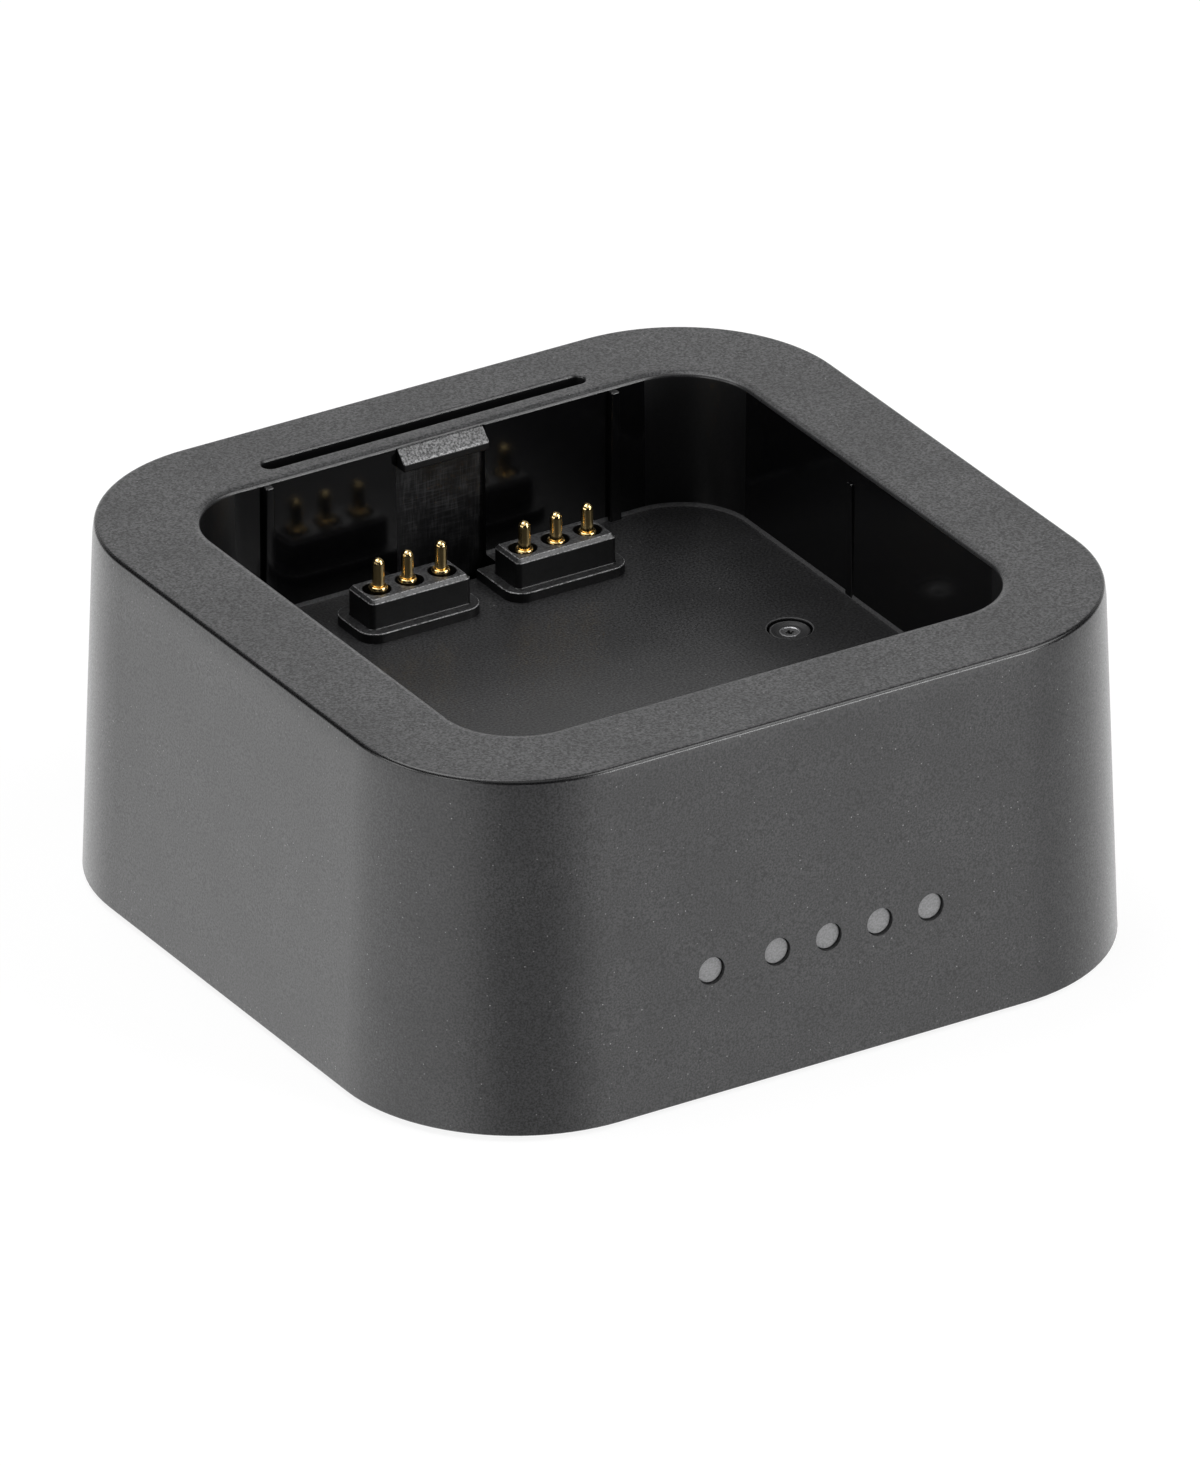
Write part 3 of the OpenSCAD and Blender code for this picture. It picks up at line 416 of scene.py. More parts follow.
def scuffed_abs():
    """Where packs rub past the latch: near black, with fine crossed scratches, most at its top.
    The scratches are drawn coarser than real ones."""
    mat, tree = new_material("abs_scuffed")
    upright = grain(tree, 0.2, detail=1.0, stretch=(1, 1, 0.1))
    level = grain(tree, 0.2, detail=1.0, stretch=(0.08, 0.08, 1))
    upright = add(tree, MAP_RANGE, (upright, 0.45, 0.7))
    level = add(tree, MAP_RANGE, (level, 0.45, 0.7))
    lines = add(tree, MATH, (upright, level), operation="ADD")
    place = add(tree, "ShaderNodeTexCoord").outputs["Object"]
    height = add(tree, "ShaderNodeSeparateXYZ", (place,)).outputs["Z"]
    high = add(tree, MAP_RANGE, (height, (FLOOR_Z + 3) * MM, (RIM_Z - 5) * MM, 0.35, 1.0))
    patches = add(tree, MAP_RANGE, (grain(tree, 2.5, detail=2.0), 0.35, 0.65, 0.2, 1.0))
    worn = add(tree, MATH, (patches, high), operation="MULTIPLY")
    scratched = add(tree, MATH, (lines, worn), operation="MULTIPLY")
    cloudy = add(tree, MIX, {0: worn, 6: linear("#0e0e0f"), 7: linear("#1c1c1d")}, data_type="RGBA")
    tone = add(tree, MIX, {0: scratched, 6: cloudy, 7: linear("#333334")}, data_type="RGBA")
    gloss = add(tree, MAP_RANGE, (scratched, 0, 1, 0.28, 0.45))
    bump = add(tree, BUMP, {"Height": lines, "Distance": 0.004 * MM})
    return shaded(mat, tree, {"Base Color": tone, "Roughness": gloss, "IOR": ABS_IOR, "Normal": bump})


panel_abs = scuffed_abs()

# Finishes of the metals and of the other parts


def gold_plate():
    """Turned brass, gold plated: the turning marks run round it, so highlights stretch along its axis.
    The marks are drawn coarser than real ones."""
    mat, tree = new_material("gold_plate_on_brass")
    facing = add(tree, "ShaderNodeNewGeometry").outputs["Normal"]
    around = add(tree, "ShaderNodeVectorMath", ((0, 0, 1), facing), operation="CROSS_PRODUCT")
    rings = grain(tree, 0.2, detail=1.0, stretch=(0.05, 0.05, 1))
    gloss = add(tree, MAP_RANGE, (rings, 0.35, 0.65, 0.16, 0.18))
    return shaded(mat, tree, {"Base Color": linear("#f6d899"), "Metallic": 1.0, "Roughness": gloss,
                              "Tangent": around, "Anisotropic": 0.7, "Anisotropic Rotation": 0.25})


def steel(name, colour, roughness, metallic=1.0, grain_mm=0.2, depth_mm=0.004):
    """A metal part of one colour, with a slightly uneven surface that breaks up its highlights."""
    mat, tree = new_material(name)
    bump = add(tree, BUMP, {"Height": grain(tree, grain_mm, detail=2.0), "Distance": depth_mm * MM})
    return shaded(mat, tree, {"Base Color": linear(colour), "Metallic": metallic,
                              "Roughness": roughness, "Normal": bump})


gold = gold_plate()
# Floor screws: black oxide, which isn't a bare metal, worn to steel on a ring and rubbed grey beside it. The
# same grey, on the back half of each crown only, is a painted highlight.
black_steel = steel("black_oxide_steel", "#272728", 0.45, metallic=0.0, depth_mm=0.01)
worn_steel = steel("worn_oxide_steel", "#b4b4b6", 0.42, grain_mm=0.16, depth_mm=0.012)
rubbed_steel_and_highlight = steel("rubbed_oxide_steel_and_painted_highlight", "#4a4a4b", 0.5, metallic=0.0, depth_mm=0.02)
# Hidden screws, inlet sheet, springs and capacitor cans: bright, each with its own gloss.
zinc_steel = steel("zinc_plated_steel", "#b4b6b9", 0.3)
sheet_steel = steel("drawn_stainless_sheet", "#c2c3c5", 0.25)
wire_steel = steel("drawn_spring_wire", "#b9babd", 0.28)
can_aluminium = steel("drawn_aluminium_can", "#c6c8cb", 0.32)


def moulded(name, colour, light, roughness, grain_mm=0.3, depth_mm=0.01, ior=1.5):
    """A moulded or pressed part of one colour, with a faint uneven surface."""
    mat, tree = new_material(name)
    fine = grain(tree, grain_mm, detail=3.0)
    peaks = add(tree, MAP_RANGE, (fine, 0.3, 0.7))
    tone = add(tree, MIX, {0: peaks, 6: linear(colour), 7: linear(light)}, data_type="RGBA")
    bump = add(tree, BUMP, {"Height": fine, "Distance": depth_mm * MM})
    return shaded(mat, tree, {"Base Color": tone, "Roughness": roughness, "IOR": ior, "Normal": bump})


# Feet: dull black rubber.
rubber = moulded("moulded_rubber", "#1c1c1d", "#242425", 0.8, 0.2, 0.02)
# Header and inlet tongue: black, a little glossier than the feet.
nylon = moulded("moulded_nylon", "#1b1b1c", "#232324", 0.5)
# Light guide: its rod ends are plain grey discs, because the lamps are off.
frosted_acrylic = moulded("frosted_acrylic", "#747475", "#939394", 0.5, 0.22, 0.008, ior=1.49)
# Inner parts: cream lamp bodies, a glossy green board, grey ferrite, dull black chips and brown ceramic.
lamp_package = moulded("lamp_package", "#e4e1d6", "#efece2", 0.4)
solder_mask = moulded("glass_epoxy_board", "#1c4a30", "#235a3b", 0.35, 0.6, 0.01)
ferrite = moulded("sintered_ferrite", "#3c3c3f", "#4b4b4e", 0.6, 0.15, 0.02)
chip_epoxy = moulded("moulded_epoxy", "#222224", "#2b2b2d", 0.6, 0.1, 0.01)
ceramic = moulded("fired_ceramic", "#8d7757", "#a08a68", 0.5, 0.2, 0.01)

# Repeating pieces: one tree copies a piece to every point of a mesh, and one winds a wire


def new_tree(name, inputs, output):
    """A Geometry Nodes tree with named inputs and one geometry output, and the sockets of its inputs."""
    tree = bpy.data.node_groups.new(name, "GeometryNodeTree")
    for label, kind in inputs.items():
        tree.interface.new_socket(label, in_out="INPUT", socket_type="NodeSocket" + kind)
    tree.interface.new_socket(output, in_out="OUTPUT", socket_type="NodeSocketGeometry")
    return tree, add(tree, "NodeGroupInput").outputs


def ended(tree, geometry, finish):
    """Ends a tree: its instances made real, with the given finish."""
    real = add(tree, "GeometryNodeRealizeInstances", (geometry,))
    done = add(tree, "GeometryNodeSetMaterial", {"Geometry": real, "Material": finish})
    add(tree, "NodeGroupOutput", (done,))
    return tree


def copies_tree():
    """Copies of an object at the points of a mesh, each turned about its upright axis by a random angle."""
    tree, given = new_tree("copies_at_points", {"Places": "Geometry", "Piece": "Object", "Finish": "Material",
                                                "Most turn": "Float", "Seed": "Int"}, "Pieces")
    points = add(tree, "GeometryNodeMeshToPoints", {"Mesh": given["Places"]})
    piece = add(tree, "GeometryNodeObjectInfo", {"Object": given["Piece"]}).outputs["Geometry"]
    turn = add(tree, "FunctionNodeRandomValue", {"Max": given["Most turn"], "Seed": given["Seed"]},
               data_type="FLOAT")
    angles = add(tree, "ShaderNodeCombineXYZ", {"Z": turn})
    copies = add(tree, "GeometryNodeInstanceOnPoints",
                 {"Points": points, "Instance": piece, "Rotation": angles})
    return ended(tree, copies, given["Finish"])


def coil_tree():
    """A round wire wound into an upright coil."""
    tree, given = new_tree("wire_coil", {"Coil radius": "Float", "Wire radius": "Float", "Height": "Float",
                                         "Turns": "Float", "Finish": "Material"}, "Coil")
    radius = given["Coil radius"]
    path = add(tree, "GeometryNodeCurveSpiral",
               {"Resolution": 24, "Rotations": given["Turns"], "Height": given["Height"],
                "Start Radius": radius, "End Radius": radius})
    section = add(tree, "GeometryNodeCurvePrimitiveCircle",
                  {"Resolution": 10, "Radius": given["Wire radius"]})
    wire = add(tree, "GeometryNodeCurveToMesh", {"Curve": path, "Profile Curve": section, "Fill Caps": True})
    return ended(tree, wire, given["Finish"])


COPIES = copies_tree()
COIL = coil_tree()


def grown(obj, tree, values):
    """Runs a tree on the object, with its inputs set by name, and keeps the plain mesh that it makes."""
    modifier = obj.modifiers.new(tree.name, "NODES")
    modifier.node_group = tree
    for item in tree.interface.items_tree:
        if item.in_out == "INPUT" and item.name in values:
            modifier[item.identifier] = values[item.name]
    return evaluated(obj)


def copied(name, piece, places, finish, most_turn=0.0, seed=1):
    """Copies of a piece at (x, y, z) places, as one object; the single piece is removed."""
    bm = bmesh.new()
    for place in places:
        bm.verts.new(place)
    obj = grown(new_object(name, bm), COPIES,
                {"Piece": piece, "Finish": finish, "Most turn": most_turn, "Seed": seed})
    discard(piece)
    return obj


# The one-piece top shell

OUTER = outline(HALF_W, HALF_D, CORNER_R)
BAY = outline(BAY_W / 2, BAY_D / 2, BAY_R, BAY_Y)


def lean(z):
    """How far the outer sides stand out at a height."""
    return FLARE * (RIM_Z - z) / (RIM_Z - EDGE_Z)


def shell_body():
    """Skirt, rim deck, bay and underside, as one closed skin from under the floor round to the floor."""
    step = WALL - STEP_W
    underside = [(BAY_WALL - BAY_DRAFT, UNDER_FLOOR_Z), (BAY_WALL, UNDER_DECK_Z)]

    foot_z = EDGE_Z + FOOT_EDGE
    outside = [(-WALL + lean(UNDER_DECK_Z), UNDER_DECK_Z), (-WALL + lean(BASE_TOP_Z), BASE_TOP_Z),
               (-step + lean(BASE_TOP_Z), BASE_TOP_Z), (-step + lean(EDGE_Z), EDGE_Z)]
    outside += arc(lean(EDGE_Z) - FOOT_EDGE, foot_z, FOOT_EDGE, -90, 0)
    outside += [(lean(foot_z + NEAR), foot_z + NEAR)]
    outside += [(lean(RIM_Z - drop) - soft, RIM_Z - drop) for drop, soft in WALL_SOFTENING]
    outside += arc(lean(RIM_Z - RIM_EDGE) - RIM_EDGE - RIM_SOFT, RIM_Z - RIM_EDGE, RIM_EDGE, 8, 90, 8)
    outside += [(-RIM_EDGE - RIM_SOFT - NEAR, RIM_Z)]

    tilt = radians(BAY_LEAD_TILT)
    lead_z = RIM_Z - BAY_LEAD * tan(tilt) - BAY_EDGE * cos(tilt)
    lead_out, ease, soft = BAY_LEAD_END + BAY_LEAD, 0.04, 0.03
    inside = [(BAY_EDGE + NEAR + BAY_LEAD, RIM_Z), (lead_out + ease, RIM_Z),
              (lead_out - ease, RIM_Z - ease / 2)]
    inside += arc(BAY_EDGE, lead_z, BAY_EDGE, 90 + BAY_LEAD_TILT, 180)
    foot_top, foot_in = FLOOR_Z + BAY_FOOT, -BAY_DRAFT - BAY_FOOT_OUT
    inside += [(-0.01, lead_z - NEAR), (-BAY_DRAFT, foot_top + NEAR), (-BAY_DRAFT, foot_top + soft),
               (-BAY_DRAFT - soft / 3, foot_top - soft), (foot_in, FLOOR_Z + soft), (foot_in - soft, FLOOR_Z),
               (foot_in - NEAR, FLOOR_Z)]
    return lofted("top_shell_moulding", [(BAY, underside), (OUTER, outside), (BAY, inside)])


def slot_tool():
    """The slot behind the latch wall, with a rounded mouth."""
    shape = outline(SLOT_L / 2, SLOT_W / 2, SLOT_W / 2 - 0.01, SLOT_Y)
    profile = [(0, UNDER_DECK_Z - PAST)] + arc(SLOT_EDGE, RIM_Z - SLOT_EDGE, SLOT_EDGE, 180, 90)
    return lofted("slot", [(shape, profile + [(SLOT_EDGE, RIM_Z + PAST)])], steps=12)


def tower(side):
    """One contact tower on its flange, with a square inner back corner where the core window cuts it."""
    x = side * TOWER_X
    root = FLOOR_Z - PAST
    half_w = TOWER_W / 2 + FLANGE_MARGIN
    half_d = (TOWER_D + 2 * FLANGE_MARGIN + FLANGE_BACK) / 2
    right, left = (FLANGE_CUT_R, FLANGE_R) if side < 0 else (FLANGE_R, FLANGE_CUT_R)
    shape = outline(half_w, half_d, (right, left, FLANGE_R, FLANGE_R), WINDOW_Y - half_d, x)
    edge = arc(-FLANGE_EDGE, FLANGE_Z - FLANGE_EDGE, FLANGE_EDGE, 0, 90, 4)
    flange = lofted("flange", [(shape, [(0, root), (0, FLANGE_Z - FLANGE_EDGE)] + edge[1:])], steps=10)

    # A flat chamfer with a softened edge above and below.
    e, t = TOWER_EDGE, TOWER_Z
    chamfer = [(0, t - e - 0.1), (-0.02, t - e - 0.02), (-0.09, t - e + 0.07),
               (-e + 0.06, t - 0.07), (-e - 0.02, t - 0.015), (-e - 0.1, t)]
    blend = arc(TOWER_BLEND, FLANGE_Z + TOWER_BLEND, TOWER_BLEND, 270, 180, 4)
    shape = outline(TOWER_W / 2, TOWER_D / 2, TOWER_R, TOWER_Y, x)
    return [flange, lofted("tower", [(shape, [(TOWER_BLEND, root)] + blend + chamfer)], steps=8)]


def well_x(n):
    """The middle of a contact's well."""
    return (-1 if n <= 3 else 1) * TOWER_X + ((n - 1) % 3 - 1) * CONTACT_PITCH


def mouthed(name, r, low, top, x, y, sides):
    """A round cutter that leaves a hole with a softened mouth."""
    mouth = [(r + grow, z) for grow, z in arc(MOUTH_EDGE, top - MOUTH_EDGE, MOUTH_EDGE, 180, 90, 3)]
    return turned(name, [(r, low)] + mouth + [(r + MOUTH_EDGE, top + PAST)], x, y, sides)


def wells():
    """Clearance wells round the barrels, through the towers and the floor."""
    low = UNDER_FLOOR_Z - PAST
    return [mouthed("well", WELL_D / 2, low, TOWER_Z, well_x(n), TOWER_Y, 48) for n in CONTACTS]


def hook():
    """The latch hook: a slope down to a blunt nose that stands out over the bay."""
    top = RIM_Z - HOOK_DROP
    nose_y, nose_top = BAY_BACK_Y - HOOK_OUT, top - HOOK_OUT
    root_y = PANEL_Y + PAST
    points = [(root_y, nose_top - HOOK_NOSE), (root_y, top), (BAY_BACK_Y, top), (nose_y, nose_top),
              (nose_y, nose_top - HOOK_NOSE)]
    return prism("hook", points, HOOK_W / 2, HOOK_EDGE)


def rib(drop, out):
    """One centring rib for a wall that faces the front, at the wall's middle, narrower at its top."""
    low, high = FLOOR_Z - PAST, RIM_Z - drop
    piece = block("rib", (-RIB_W / 2, -BAY_DRAFT - out, low), (RIB_W / 2, PAST, high))
    for v in piece.data.vertices:
        v.co.x *= 1 + (RIB_TOP_W / RIB_W - 1) * (v.co.z - low) / (high - low)
    bm = bmesh.new()
    bm.from_mesh(piece.data)
    round_edges(bm, RIB_EDGE, 3)
    bm.to_mesh(piece.data)
    bm.free()
    return piece


def ribs():
    """Two ribs on the back wall, two on the front wall, and a nearly flush one on each side wall."""
    xs = (-RIB_PITCH / 2, RIB_PITCH / 2)
    made = [placed(rib(RIB_DROP, RIB_OUT), (x, BAY_BACK_Y, 0)) for x in xs]
    made += [placed(rib(FRONT_RIB_DROP, RIB_OUT), (x, BAY_Y - BAY_D / 2, 0), 180, "Z") for x in xs]
    made += [placed(rib(SIDE_RIB_DROP, SIDE_RIB_OUT), (side * BAY_W / 2, SIDE_RIB_Y, 0), side * -90, "Z")
             for side in (-1, 1)]
    return made


def under_bosses():
    """Screw seats and board bosses under the floor, as in the construction."""
    root = FLOOR_Z - 1.1
    made = [turned("seat", [(SEAT_R, SEAT_LOW_Z), (SEAT_R, root)], side * FLOOR_SCREW_X)
            for side in (-1, 1)]
    made += [turned("boss", [(3, BOARD_TOP_Z), (3.5, root)], sx * BOARD_SCREW_X, sy * BOARD_SCREW_Y)
             for sx in (-1, 1) for sy in (-1, 1)]
    made += [turned("boss", [(2.5, CONTACT_BOARD_Z), (2.5, root)], side * CONTACT_SCREW_X, TOWER_Y)
             for side in (-1, 1)]
    return made


def screw_cuts():
    """Screw pockets with the holes under them, and the pilot holes of the bosses."""
    made = []
    for side in (-1, 1):
        x = side * FLOOR_SCREW_X
        made.append(mouthed("pocket", POCKET_D / 2, FLOOR_Z - POCKET_DEPTH, FLOOR_Z, x, 0, 64))
        made.append(turned("hole", [(SCREW_HOLE_R, FLOOR_Z - 6), (SCREW_HOLE_R, FLOOR_Z - 2)], x, 0))
        made += [turned("pilot", [(PILOT_R, BOARD_TOP_Z - PAST), (PILOT_R, BOARD_TOP_Z + PILOT_DEPTH)],
                        side * BOARD_SCREW_X, sy * BOARD_SCREW_Y, 24) for sy in (-1, 1)]
        made.append(turned("pilot", [(PILOT_R, CONTACT_BOARD_Z - 0.8), (PILOT_R, UNDER_FLOOR_Z + PAST)],
                           side * CONTACT_SCREW_X, TOWER_Y, 24))
    return made


def light_holes():
    """The round windows of the five lights, through the front wall."""
    depth, start = 8, -HALF_D + 4
    return [placed(turned("light_hole", [(LIGHT_D / 2, 0), (LIGHT_D / 2, depth)]), (x, start, LIGHT_Z), 90)
            for x in LIGHT_XS]


INLET_W, INLET_H, INLET_L, INLET_CLEAR = 8.94, 3.2, 7.3, 0.2
INLET_Z = BOARD_TOP_Z + INLET_H / 2
INLET_MOUTH_Y = HALF_D + lean(INLET_Z) - 0.5


def inlet_outline(grow=0.0):
    """The power inlet's outline, with half-round ends."""
    return outline(INLET_W / 2 + grow, INLET_H / 2 + grow, INLET_H / 2 + grow - 0.01)


def inlet_hole():
    """The opening for the power inlet, through the back wall."""
    tool = lofted("inlet_hole", [(inlet_outline(INLET_CLEAR), [(0, -4), (0, 4)])], steps=12)
    return placed(tool, (0, HALF_D, INLET_Z), 90)


GRAINED, RIM_AND_PAINTED_LIGHT, EDGE_SHADE, FLOOR_MATT, COARSE, SCUFFED, SATIN, POLISHED, FILLET_HIGHLIGHT, EDGE_HIGHLIGHT, LIP_HIGHLIGHT = range(11)
SHELL_FINISHES = [outer_abs, rim_and_painted_light_abs, edge_shade_abs, floor_abs, hook_abs, panel_abs, side_abs, wall_abs, fillet_highlight_abs,
                  edge_highlight_abs, lip_highlight_abs]


def tower_finish(x, y, z, rise):
    """The finish of a contact tower and its flange: bands of their upper edges get a painted highlight."""
    by_well = any(hypot(x - well_x(n), y - TOWER_Y) < WELL_D / 2 + 0.15 for n in CONTACTS)
    # Painted highlight: two bands of the top chamfer, picked by which way they face.
    if z > TOWER_Z - TOWER_EDGE - 0.12 and not by_well and (0.3 < rise < 0.66 or 0.76 < rise < 0.97):
        return EDGE_HIGHLIGHT
    # Painted highlight along the flange's rounded top edge.
    if FLANGE_Z - FLANGE_EDGE < z < FLANGE_Z and 0.45 < rise < 0.9:
        return EDGE_HIGHLIGHT
    # Painted shade in the fillet where a tower meets its flange.
    if FLANGE_Z + 0.01 < z < FLANGE_Z + TOWER_BLEND + 0.02 and rise > 0.1:
        return EDGE_SHADE
    if rise < 0.3:
        return SATIN
    # Painted light: the tower tops take the rim's paler finish, to make up for the light they lose inside the
    # bay.
    return RIM_AND_PAINTED_LIGHT if z > TOWER_Z - 0.02 else FLOOR_MATT


def bay_finish(x, y, z, rise, aside):
    """The finish of a face inside the bay."""
    by_panel = abs(x) < PANEL_W / 2 + 0.05
    if by_panel and y > PANEL_Y - 0.1:
        return SCUFFED
    if by_panel and BAY_BACK_Y - 0.3 < y < PANEL_Y and aside > 0.9 and z < RIM_Z - 3:
        return SATIN
    if abs(x) < HOOK_W / 2 + 0.05 and y > BAY_BACK_Y - HOOK_OUT - 0.1 and z > RIM_Z - 3.2:
        # The hook's rounded lip gets a painted highlight; its nose stays satin.
        return COARSE if rise > 0.69 else EDGE_HIGHLIGHT if rise > 0.3 else SATIN
    # Painted highlight: a thin paler line on the fillet where floor meets wall.
    if FLOOR_Z + 0.01 < z < FLOOR_Z + BAY_FOOT and 0.1 < rise < 0.9:
        return FILLET_HIGHLIGHT
    by_pocket = hypot(abs(x) - FLOOR_SCREW_X, y) < POCKET_D / 2 + 0.2
    # Painted highlight on the rounded mouth of each screw pocket.
    if FLOOR_Z - MOUTH_EDGE < z < FLOOR_Z - 0.005 and rise > 0.2 and by_pocket:
        return FILLET_HIGHLIGHT
    if abs(x) < TOWER_X + TOWER_W and WINDOW_Y - 9 < y < WINDOW_Y + 0.1 and z < TOWER_Z + 0.1:
        return tower_finish(x, y, z, rise)
    if z < FLOOR_Z + 0.05:
        return SATIN if rise < 0.3 else FLOOR_MATT
    in_corner = abs(x) > BAY_W / 2 - BAY_R + 0.5 and abs(y - BAY_Y) > BAY_D / 2 - BAY_R + 0.5
    return SATIN if in_corner else POLISHED


def shell_finish(face):
    """Which finish a face of the shell has, from where it lies and which way it faces."""
    x, y, z = face.center / MM
    rise = face.normal.z
    # Painted shade along the rim's rounded outer edge.
    if z > RIM_Z - RIM_EDGE and 0.1 < rise < 0.92:
        # Painted highlight along the bay's lip.
        return LIP_HIGHLIGHT if abs(x) < BAY_W / 2 + 2 and abs(y - BAY_Y) < BAY_D / 2 + 6 else EDGE_SHADE
    if z > RIM_Z - 0.2 and rise > 0.1:
        return RIM_AND_PAINTED_LIGHT
    if abs(x) < SLOT_L / 2 + 0.4 and abs(y - SLOT_Y) < SLOT_W / 2 + 0.4 and z > UNDER_DECK_Z - 0.1:
        return SATIN
    inside = abs(x) < BAY_W / 2 + 0.3 and abs(y - BAY_Y) < BAY_D / 2 + PANEL_RECESS + 0.3
    if not inside or z < FLOOR_Z - POCKET_DEPTH - 0.1:
        return GRAINED
    return bay_finish(x, y, z, rise, abs(face.normal.x))


def top_shell():
    """The whole moulding: the body, what is cut from it, what stands on it, and the holes through both."""
    shell = shell_body()
    near_y = BAY_BACK_Y - BAY_DRAFT - BAY_FOOT - 0.5
    half_w = PANEL_W / 2
    recess = block("recess", (-half_w, near_y, FLOOR_Z), (half_w, PANEL_Y, RIM_Z - BAY_EDGE))
    window = block("window", (-half_w, WINDOW_Y, UNDER_FLOOR_Z - PAST), (half_w, PANEL_Y, FLOOR_Z + 0.5))
    combine(shell, "DIFFERENCE", [slot_tool(), recess])
    combine(shell, "UNION", tower(-1) + tower(1) + [hook()] + ribs() + under_bosses())
    combine(shell, "DIFFERENCE", [window] + wells() + screw_cuts() + light_holes() + [inlet_hole()])
    finished(shell, "top_shell", SHELL_FINISHES, sharp=40, pick=shell_finish)


top_shell()

# Contacts

CONTACT_SHIFT = [0.2, -0.25, -0.15, 0.2, 0.1, -0.05]
BARREL_R, BARREL_WALL, LIP_IN, LIP_T = 1.0, 0.16, 0.125, 0.4
BARREL_FLOOR = 0.6
TAIL_R, TAIL_L = 0.45, 2.2
SEAT_FLANGE_R, SEAT_FLANGE_T, SEAT_FLANGE_EDGE = 1.25, 0.7, 0.05
BORE_R = BARREL_R - BARREL_WALL
MOUTH_R = BORE_R - LIP_IN
PLUNGER_CLEAR = 0.04
STEM_R = MOUTH_R - PLUNGER_CLEAR
# The bead at a barrel's mouth: its radius, its crest's, and how far it drops outside and inside.
BEAD_R, CREST_R, BEAD_DROP_OUT, BEAD_DROP_IN = BARREL_R + 0.07, 0.84, 0.4, 0.16
PLUNGER_OUT, COLLAR_L, PLUNGER_TRAVEL, PLUNGER_EDGE = 3.2, 1.6, 1.6, 0.05
WIRE_R, COIL_GAP = 0.1, 0.02


def contact_x(n):
    """Where a contact stands: a little beside its well's middle, as in the photograph."""
    return well_x(n) + CONTACT_SHIFT[n - 1]


def barrel_top(n):
    """The height of a barrel's mouth: the left three were soldered a little higher."""
    return TOWER_Z + (0.4 if n <= 3 else -0.05)


def barrel(n):
    """A turned tube with a rolled-in mouth, a seat flange and a solder tail."""
    top, seat = barrel_top(n), CONTACT_BOARD_Z
    flange_top, edge = seat + SEAT_FLANGE_T, SEAT_FLANGE_EDGE
    bead_low = top - BEAD_DROP_OUT
    profile = [(TAIL_R, seat - TAIL_L), (TAIL_R, seat), (SEAT_FLANGE_R - edge, seat),
               (SEAT_FLANGE_R, seat + edge), (SEAT_FLANGE_R, flange_top - edge),
               (SEAT_FLANGE_R - edge, flange_top), (BARREL_R, flange_top),
               (BARREL_R, bead_low - 0.4), (BARREL_R + 0.04, bead_low - 0.25)]
    profile += [(CREST_R + (BEAD_R - CREST_R) * r, top - BEAD_DROP_OUT * (1 - z))
                for r, z in arc(0, 0, 1, -20, 90, 10)]
    profile += [(CREST_R + (CREST_R - MOUTH_R) * r, top - BEAD_DROP_IN * (1 - z))
                for r, z in arc(0, 0, 1, 90, 180, 5)[1:]]
    profile += [(MOUTH_R, top - LIP_T), (BORE_R, top - LIP_T), (BORE_R, seat + BARREL_FLOOR)]
    return turned("barrel", profile, contact_x(n), TOWER_Y)


def collar_low(n):
    """The height of a collar's underside, with the plunger up."""
    return barrel_top(n) - LIP_T - 0.02 - COLLAR_L


def plunger(n):
    """A turned plunger with a collar, a stem and a full round tip."""
    low, top, collar_r = collar_low(n), barrel_top(n) + PLUNGER_OUT, BORE_R - PLUNGER_CLEAR
    high, edge = low + COLLAR_L, PLUNGER_EDGE
    profile = [(collar_r - edge, low), (collar_r, low + edge), (collar_r, high - edge),
               (collar_r - edge, high), (STEM_R, high), (STEM_R, top - STEM_R - 0.1)]
    profile += arc(0, top - STEM_R, STEM_R, 0, 88, 16)
    return turned("contact_plunger_%d" % n, profile, contact_x(n), TOWER_Y)


def spring(n):
    """A coil between the barrel's floor and the collar, wound loose enough to shorten by the plunger's
    travel.
    """
    low = CONTACT_BOARD_Z + BARREL_FLOOR + COIL_GAP + WIRE_R
    height = collar_low(n) - COIL_GAP - WIRE_R - low
    turns = floor((height - PLUNGER_TRAVEL) / (6 * WIRE_R))
    coil = grown(new_object("contact_coil_%d" % n, bmesh.new()), COIL,
                 {"Coil radius": BORE_R - PLUNGER_CLEAR - WIRE_R, "Wire radius": WIRE_R, "Height": height,
                  "Turns": float(turns), "Finish": wire_steel})
    placed(coil, (contact_x(n), TOWER_Y, low))
    finished(coil, "contact_spring_%d" % n, [wire_steel])
    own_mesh(coil)


barrels = finished(merged("contact_barrels", [barrel(n) for n in CONTACTS]), "pin_barrels",
                   [gold], sharp=50)
# Bounce light from the gold would leave bright specks on the black plastic round it.
barrels.visible_diffuse = False
for n in CONTACTS:
    pin = finished(plunger(n), "contact_plunger_%d" % n, [gold],
                   body="plunger_%d" % n, sharp=50)
    pin.visible_diffuse = False
    spring(n)

# Floor screws and feet

HEAD_R, HEAD_H, HEAD_DISH = 2.25, 1.87, 0.19
THREAD_R, THREAD_L, THREAD_TIP_R, THREAD_TIP = 1.3, 12, 0.5, 1.3
FOOT_R, FOOT_H, FOOT_ROUND, FOOT_X, FOOT_Y = 5, 1.6, 0.3, 33, 32
OXIDE, WORN, RUBBED_OXIDE_AND_HIGHLIGHT = range(3)


